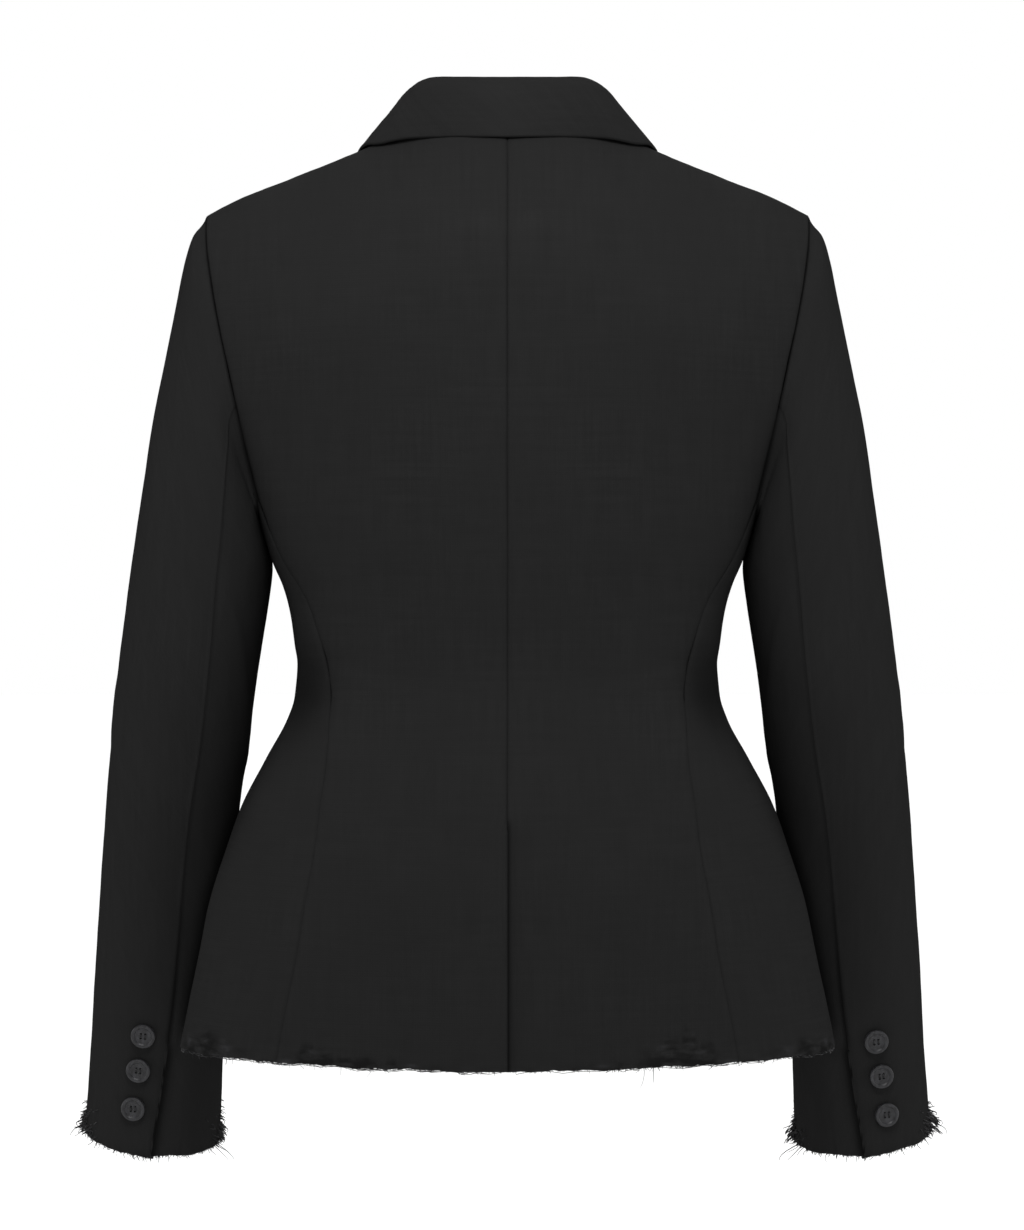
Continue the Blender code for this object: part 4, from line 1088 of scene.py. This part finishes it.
def horn_material():
    """Dull horn, turned and tumbled: cloudy dark grey streaks under a satin polish with fine scratches."""
    material, tree, shader = new_material("dull_black_horn")
    place = add_node(tree, "TexCoord", {}, "Object")
    streak = add_node(tree, "Mapping", {"Vector": place, "Scale": (0.5 / MM, 0.5 / MM, 0.15 / MM)})
    cloud = add_node(tree, "TexNoise", {"Vector": streak, "Scale": 1.0, "Detail": 4.0})
    cloud = add_node(tree, "MapRange", {0: cloud, 1: 0.35, 2: 0.7})
    fine = add_node(tree, "TexNoise", {"Vector": place, "Scale": 2.5 / MM, "Detail": 2.0})
    set_inputs(tree, shader, {
        "Base Color": mixed(tree, cloud, linear(HORN_DARK), linear(HORN_LIGHT)),
        "Roughness": add_node(tree, "MapRange", {0: fine, 3: 0.36, 4: 0.52}),
        "Normal": add_node(tree, "Bump", {"Height": fine, "Strength": 0.15, "Distance": 0.05 * MM}),
        "IOR": 1.54,
        "Specular IOR Level": 0.12,
    })
    return material


def thread_material():
    """Loose wool yarn, spun and hairy: darker and lighter along its length, with a soft bloom."""
    material, tree, shader = new_material("black_wool_yarn")
    place = add_node(tree, "TexCoord", {}, "Object")
    fibre = add_node(tree, "TexNoise", {"Vector": place, "Scale": 0.6 / MM, "Detail": 2.0})
    fibre = add_node(tree, "MapRange", {0: fibre, 1: 0.35, 2: 0.65})
    set_inputs(tree, shader, {
        "Base Color": mixed(tree, fibre, linear(THREAD_DARK), linear(THREAD_LIGHT)),
        "Normal": add_node(tree, "Bump", {"Height": fibre, "Strength": 0.3, "Distance": 0.1 * MM}),
        "Roughness": 0.9,
        "Specular IOR Level": 0.1,
        "Sheen Weight": 0.01,
    })
    return material


horn = horn_material()
yarn = thread_material()


def select_where(piece, kind, wanted):
    """Selects the faces or edges of a piece, in edit mode, whose corners and direction are wanted."""
    bpy.ops.object.mode_set(mode="OBJECT")
    for group in (piece.data.polygons, piece.data.edges, piece.data.vertices):
        group.foreach_set("select", [False] * len(group))
    for item in getattr(piece.data, kind):
        ends = [piece.data.vertices[i].co for i in item.vertices]
        item.select = wanted(ends, getattr(item, "normal", None))
    bpy.ops.object.mode_set(mode="EDIT")
    bpy.ops.mesh.select_mode(type="FACE" if kind == "polygons" else "EDGE")


def round_edge(ends):
    """Says whether an edge runs round the button."""
    return abs(ends[0].xy.length - ends[1].xy.length) < 1e-6


def sewn_button():
    """One button lying at the origin, facing up, with its holes cut through and its thread in place."""
    top = BUTTON_HEIGHT * MM
    rim = (BUTTON_RADIUS - RIM_WIDE - 0.1) * MM
    bpy.ops.object.select_all(action="DESELECT")
    middle = (0, 0, 0.5 * top)
    bpy.ops.mesh.primitive_cylinder_add(vertices=48, radius=BUTTON_RADIUS * MM, depth=top, location=middle)
    disc = bpy.context.object
    bpy.ops.object.transform_apply(location=True, rotation=True, scale=True)
    select_where(disc, "polygons", lambda ends, normal: normal.z > 0.9)
    for wide, deep in ((RIM_WIDE, 0), (DISH_SLOPE, DISH_DEEP), (FLOOR_STEP, FLOOR_DEEP)):
        bpy.ops.mesh.inset(thickness=wide * MM, depth=-deep * MM)
    select_where(disc, "edges", lambda ends, normal: round_edge(ends) and all(
        abs(p.z - top) < 1e-6 and p.xy.length > rim for p in ends))
    bpy.ops.mesh.bevel(offset=RIM_ROUND * MM, segments=4, affect="EDGES")
    select_where(disc, "edges", lambda ends, normal: round_edge(ends) and all(p.z < 1e-6 for p in ends))
    bpy.ops.mesh.bevel(offset=BACK_ROUND * MM, segments=3, affect="EDGES")
    bpy.ops.object.mode_set(mode="OBJECT")
    for turn in range(4):
        angle = math.pi / 4 + turn * math.pi / 2
        spot = (HOLE_REACH * MM * math.cos(angle), HOLE_REACH * MM * math.sin(angle), 0)
        bpy.ops.object.select_all(action="DESELECT")
        bpy.ops.mesh.primitive_cylinder_add(vertices=16, radius=HOLE_RADIUS * MM, depth=DRILL_LONG * MM,
                                            location=spot)
        drill = bpy.context.object
        pick(disc)
        hole = disc.modifiers.new("hole", "BOOLEAN")
        hole.object = drill
        hole.operation = "DIFFERENCE"
        hole.solver = "EXACT"
        bpy.ops.object.modifier_apply(modifier="hole")
        bpy.data.objects.remove(drill)
    bpy.ops.object.shade_smooth_by_angle(angle=math.radians(35))
    disc.data.materials.append(horn)
    half = HOLE_REACH * math.sqrt(0.5)
    run = np.linspace(-1, 1, 9)
    height = BUTTON_HEIGHT - DISH_DEEP - FLOOR_DEEP + 0.45 - 1.6 * np.abs(run) ** 6
    bars = np.array([np.stack((x + shift + 0 * run, half * run, height), axis=1)
                     for x in (-half, half) for shift in (-STITCH_RADIUS, STITCH_RADIUS)])
    stitch = tubes("stitch", bars, np.full(bars.shape[:2], STITCH_RADIUS), 6)
    pick(stitch, disc)
    bpy.ops.object.join()
    return bpy.context.object


def place_button(name, point, right, up):
    """Copy of the button that lies on the cloth at a point, set by one point beside it and one above it."""
    out = unit(np.cross(right - point, up - point))
    rising = up - point
    rising = unit(rising - np.dot(rising, out) * out)
    across = np.cross(rising, out)
    copy = pattern.copy()
    copy.data = pattern.data.copy()
    copy.name = name + "_horn"
    copy.data.name = copy.name
    bpy.context.scene.collection.objects.link(copy)
    flat = np.empty(len(copy.data.vertices) * 3)
    copy.data.vertices.foreach_get("co", flat)
    flat = flat.reshape(-1, 3)
    placed = point * MM + flat[:, :1] * across + flat[:, 1:2] * rising
    placed = placed + (flat[:, 2:] + BUTTON_GAP * MM) * out
    copy.data.vertices.foreach_set("co", placed.ravel())
    copy.data.update()
    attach(copy, "root")
    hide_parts(name)


pattern = sewn_button()
for i, z in enumerate(FRONT_BUTTON_Z):
    y = front_y(0.0, z, 1)
    above = np.array((0.0, front_y(0.0, z + 1, 1), z + 1))
    place_button("front_button_" + str(i + 1), np.array((0.0, y, z)), np.array((1.0, y, z)), above)
for side, word in SIDES:
    flip = np.array((side, 1, 1))
    for i, (ring, angle) in enumerate(CUFF_BUTTONS[side]):
        beside = ((0, 0), (0, 2), (0.1, 0))
        spots = [ring_point(ring - rise, angle + side * turn) * flip for rise, turn in beside]
        place_button("cuff_button_" + word + "_" + str(i + 1), *spots)
bpy.data.objects.remove(pattern)

# Frayed edges. The hem and cuffs are cut raw: short ends of yarn hang all along them, longer ones stand
# out in tufts, loose cross threads run along the edge and worn patches of the hem are matted with
# pulled threads.
STRAND_RUN = np.linspace(0, 1, 6)
HEM_FALL = np.array((0, 0, -1.0))
CUFF_LEAN = np.array((0.06, -0.2, -1.0))
CROSS_THREADS = 46
HIP_THREADS = 9
PATCH_SHARE = 0.09
PATCH_MOST = 260
PATCH_FEWEST = 4
CORNER_THREADS = 130
SPIKE_THREADS = 24
HEM_TUFTS = {
    1: table(
        "at spread strands length flare",
        (0.03, 0.02, 3, 2, 0.1),
        (0.135, 0.02, 4, 2, 0.2),
        (0.23, 0.03, 6, 2, 0.2),
        (0.32, 0.03, 3, 2, 0.2),
        (0.42, 0.05, 8, 2.5, 0.3),
        (0.6, 0.06, 4, 2, 0.2),
        (0.8, 0.08, 4, 2, 0.2),
        (0.95, 0.03, 3, 2, 0.2),
    ),
    -1: table(
        "at spread strands length flare",
        (0.03, 0.02, 3, 2, 0.1),
        (0.1, 0.02, 3, 2, 0.2),
        (0.165, 0.02, 4, 11, 0.15),
        (0.22, 0.03, 7, 2.5, 0.3),
        (0.32, 0.03, 3, 2, 0.2),
        (0.45, 0.05, 8, 2.5, 0.3),
        (0.62, 0.06, 4, 2, 0.2),
        (0.8, 0.08, 4, 2, 0.2),
    ),
}
CUFF_TUFTS = table(
    "at spread strands length flare",
    (0.0, 0.05, 7, 13, 1.1),
    (0.17, 0.07, 5, 5, 0.5),
    (0.35, 0.06, 5, 4, 0.4),
    (0.5, 0.05, 7, 15, 1.4),
    (0.68, 0.07, 5, 6, 0.6),
    (0.85, 0.06, 5, 6, 0.6),
)
CUFF_CORNERS = (8.0, 172.0)
CUFF_SPIKES = {1: (4.5, 6.0), -1: (9.0, 9.0)}
rng = np.random.default_rng(11)


def along_edge(line, place):
    """Points at distances along an edge, with the way along it and the length of the edge."""
    spans = np.linalg.norm(np.diff(line, axis=0), axis=1)
    stops = np.concatenate(((0,), np.cumsum(spans)))
    behind, point, ahead = [
        np.stack([np.interp(place + step, stops, line[:, axis]) for axis in range(3)], axis=-1)
        for step in (-1.5, 0, 1.5)]
    return point, unit(ahead - behind), stops[-1]


def level_out(way):
    """Outward direction beside a hem that runs clockwise seen from above."""
    return unit(np.stack((-way[:, 1], way[:, 0], 0 * way[:, 0]), axis=1))


def cuff_out(away):
    """Outward direction at a point of the cuff, from where it lies beside the middle of the cuff."""
    return unit(away - CUFF_LEAN * (away @ CUFF_LEAN)[:, None])


def loose_ends(point, way, out, fall, length, flare, lean, curl, size):
    """Curved ends of yarn from points of an edge, thinner at the tip."""
    run = STRAND_RUN[None, :, None]
    length = length[:, None, None]
    path = point[:, None] + unit(fall + out[:, None] * flare[:, None, None]) * length * run
    path = path + way[:, None] * lean[:, None, None] * length * run ** 1.6
    path = path + out[:, None] * curl[:, None, None] * length * np.sin(math.pi * run * 0.9) * 0.35
    return path, size[:, None] * np.linspace(1, 0.45, len(STRAND_RUN))[None, :]


def short_ends(line, out_at, fall, apart, margin, shortest, growth, flare, size, matted=None):
    """Short ends of yarn at uneven places all along an edge, longer where the edge is matted."""
    total = along_edge(line, np.zeros(1))[2]
    count = int(total / apart)
    spot = np.sort(rng.uniform(margin, total - margin, count))
    point, way, total = along_edge(line, spot)
    out = out_at(point, way)
    point = point - out * rng.uniform(0.2, 1.8, count)[:, None] - fall * 0.8
    grown = rng.gamma(2, growth, count)
    if matted is not None:
        grown = grown * (0.7 + 1.8 * np.interp(spot, np.linspace(0, total, len(matted)), matted))
    return loose_ends(point, way, out, fall, shortest + grown, rng.normal(*flare, count),
                      rng.normal(0, 0.5, count), rng.normal(0, 0.6, count), rng.uniform(*size, count))


def tuft_marks(tufts, total):
    """Place, length, lean and flare of the longer strands, as they stand on the solids."""
    marks = []
    for at, spread, strands, length, flare in zip(*tufts.values()):
        for i in range(int(strands)):
            step = (i + 0.5) / strands * 2 - 1
            wave = math.sin(12.9 * i + 78.2 * at)
            spot = (at + spread * (step + 0.25 * wave / strands)) * total
            reach = max(length * (0.62 + 0.38 * math.sin(5.1 * i + 9.7 * at)), 1.8)
            marks.append((spot, reach, 0.35 * step + 0.1 * wave, flare * (0.75 + 0.25 * wave)))
    return np.array(sorted(marks)).T


def tuft_ends(line, out_at, fall, spot, reach, lean, flare, size):
    """The longer strands of an edge."""
    point, way, total = along_edge(line, spot)
    out = out_at(point, way)
    return loose_ends(point - out * 1.0 - fall * 0.6, way, out, fall, reach, flare, lean,
                      rng.normal(0, 0.7, len(spot)), rng.uniform(*size, len(spot)))


def cross_threads(line, place, length, lift, drop):
    """Loose threads that run along a hem, wavering above and below it."""
    paths = []
    for at, size, high, low in zip(place, length, lift, drop):
        point, way, total = along_edge(line, at + size * STRAND_RUN)
        path = point + level_out(way) * (high * np.sin(math.pi * STRAND_RUN) + 0.2)[:, None]
        path[:, 2] += low * np.sin(STRAND_RUN * 7 + at) - 0.5
        paths.append(path)
    paths = np.array(paths)
    return paths, np.full(paths.shape[:2], 0.2)


def matted_threads(panel, count, chance):
    """Pulled threads that lie on the worn cloth of a panel just above its hem."""
    picked = rng.choice(len(chance), count, p=chance / chance.sum())
    point = panel["points"].reshape(-1, 3)[picked]
    normal = panel["out"].reshape(-1, 3)[picked]
    turn = rng.uniform(0, 2 * math.pi, count)
    level = level_out(normal * np.array((1, 1, 0)) + 1e-6)
    lie = unit(level * np.cos(turn)[:, None] * 3 + np.array((0, 0, 1.0)) * np.sin(turn)[:, None])
    bend = np.cross(normal, lie)
    length = rng.uniform(3, 13, count)
    run = STRAND_RUN[None, :, None]
    path = point[:, None] + lie[:, None] * length[:, None, None] * (run - 0.5)
    arch = np.sin(math.pi * run)
    path = path + bend[:, None] * (rng.normal(0, 0.14, count) * length)[:, None, None] * arch
    lifted = rng.uniform(0.0, 0.6, count)[:, None, None] * arch + 0.1
    path = path + normal[:, None] * lifted
    return path, np.tile(rng.uniform(0.14, 0.24, count)[:, None], (1, len(STRAND_RUN)))


def corner_ends(out_at, high, angle, inset, *looks):
    """Thick ends of yarn near one corner of a cuff."""
    point = ring_point(high, angle)
    way = unit(ring_point(high, angle + 2) - point)
    out = out_at(point, way)
    return loose_ends(point - out * inset, way, out, unit(CUFF_LEAN), *looks)


def frayed(node, groups, side):
    """One frayed edge from its groups of threads."""
    paths = np.concatenate([group[0] for group in groups])
    radii = np.concatenate([group[1] for group in groups])
    paths[:, :, 0] *= side
    piece = tubes(node + "_yarn", paths, radii, 3)
    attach(piece, "root")
    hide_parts(node)
    return piece


for side, word in SIDES:
    line = np.concatenate([panel["points"][0] for panel in hems[side]])
    matted = np.concatenate([panel["worn"][2] for panel in hems[side]])
    total = along_edge(line, np.zeros(1))[2]
    out_at = lambda point, way: level_out(way)
    groups = [short_ends(line, out_at, HEM_FALL, apart=0.6, margin=1, shortest=1.0, growth=0.22,
                         flare=(0.1, 0.3), size=(0.12, 0.2), matted=matted)]
    spot, reach, lean, flare = tuft_marks(HEM_TUFTS[side], total)
    spot = np.clip(spot, 4, total - 4)
    reach = np.where(reach > 5, reach + 1.5, 0.4 * reach + 0.8)
    groups.append(tuft_ends(line, out_at, HEM_FALL, spot, reach, lean, flare, (0.2, 0.3)))
    count = CROSS_THREADS
    groups.append(cross_threads(line, rng.uniform(2, total - 50, count), rng.uniform(10, 46, count),
                                rng.uniform(0.1, 0.9, count), rng.uniform(0.3, 1.2, count)))
    places = np.linspace(0, total, 400)
    outermost = places[along_edge(line, places)[0][:, 0].argmax()]
    count = HIP_THREADS
    paths, radii = cross_threads(line, outermost - rng.uniform(8, 44, count), rng.uniform(10, 26, count),
                                 rng.uniform(0.4, 1.4, count), rng.uniform(0.8, 2.4, count))
    groups.append((paths, 1.6 * radii))
    for panel in hems[side]:
        chance = (panel["worn"] ** 2).ravel()
        count = int(min(PATCH_MOST, PATCH_SHARE * chance.sum()))
        if count >= PATCH_FEWEST:
            groups.append(matted_threads(panel, count, chance))
    fray = frayed("hem_fray_" + word, groups, side)

for side, word in SIDES:
    top_edge, under_edge = cuffs[side]
    line = np.concatenate((top_edge, under_edge[1:]))
    total = along_edge(line, np.zeros(1))[2]
    start = along_edge(top_edge[: int(0.5 * len(top_edge)) + 1], np.zeros(1))[2]
    middle = line.mean(axis=0)
    out_at = lambda point, way: cuff_out(point - middle)
    fall = unit(CUFF_LEAN)
    groups = [short_ends(line, out_at, fall, apart=0.5, margin=0.5, shortest=1.1, growth=0.55,
                         flare=(0.3, 0.4), size=(0.2, 0.36))]
    spot, reach, lean, flare = tuft_marks(CUFF_TUFTS, total)
    spot = (spot + start) % total
    groups.append(tuft_ends(line, out_at, fall, spot, reach + 1.5, lean, flare, (0.3, 0.42)))
    for corner, spike in zip(CUFF_CORNERS, CUFF_SPIKES[side]):
        count = CORNER_THREADS
        high = 17.1 - np.abs(rng.normal(0, 0.32, count))
        angle = corner + rng.normal(0, 14, count)
        groups.append(corner_ends(out_at, high, angle, 0.9, rng.gamma(3, 0.9, count) + 1.4,
                                  rng.uniform(0.4, 2.6, count), rng.normal(0, 0.5, count),
                                  rng.normal(0, 0.8, count), rng.uniform(0.35, 0.65, count)))
        count = SPIKE_THREADS
        aside = rng.normal(0, 4, count)
        high = 17.0 - rng.uniform(0, 0.35, count)
        groups.append(corner_ends(out_at, high, corner + aside, 0.6, spike * rng.uniform(0.6, 1.25, count),
                                  rng.uniform(0.8, 1.7, count), rng.normal(0, 0.06, count) - 0.09 * aside,
                                  rng.normal(0, 0.25, count), rng.uniform(0.4, 0.7, count)))
    fray = frayed("cuff_fray_" + word, groups, side)

# Stage. A wide pale floor well below the hem, white studio walls as the world, and the same soft
# lights on the back and the front side: one from above, one on the yoke and one beside each sleeve.
FLOOR_Z = -1.05
FLOOR_RADIUS = 40
bpy.ops.object.select_all(action="DESELECT")
bpy.ops.mesh.primitive_circle_add(vertices=96, radius=FLOOR_RADIUS, fill_type="NGON",
                                  location=(0, 0, FLOOR_Z))
floor = bpy.context.object
floor.name = "floor"
pale, tree, shader = new_material("pale_floor")
set_inputs(tree, shader, {
    "Base Color": linear("#FEFEFE"),
    "Roughness": 0.9,
    "Emission Color": (1, 1, 1, 1),
    "Emission Strength": 0.06,
})
floor.data.materials.append(pale)

studio = bpy.data.worlds.new("studio")
studio.use_nodes = True
background = studio.node_tree.nodes["Background"]
set_inputs(studio.node_tree, background, {"Color": (1, 1, 1, 1), "Strength": 1.0})
bpy.context.scene.world = studio
bpy.context.scene.view_settings.view_transform = "Standard"


def soft_light(name, place, size, energy, tilt, turn):
    """Square soft light; tilt is in degrees and turn in radians."""
    bpy.ops.object.light_add(type="AREA", location=place)
    light = bpy.context.object
    light.name = name
    light.data.size = size
    light.data.energy = energy
    light.rotation_euler = (math.radians(tilt), 0, turn)
    return light.data


for facing, turn in ((1, 0), (-1, math.pi)):
    key_turn = math.radians(-4.1) + turn
    key_light = soft_light("soft_key", (0.1 * facing, 1.4 * facing, 1.5), 2.0, 40, -37.9, key_turn)
    key_light.shape = "RECTANGLE"
    key_light.size_y = 1.4
    yoke_light = soft_light("soft_yoke", (0, 1.3 * facing, 0.9), 0.5, 4.5, -53.1, turn)
    yoke_light.spread = math.radians(60)
    for x in (-2.6, 2.6):
        soft_light("soft_fill", (x * facing, 0.8 * facing, -0.3), 1.4, 27, -90, -math.atan2(x, 0.8) + turn)
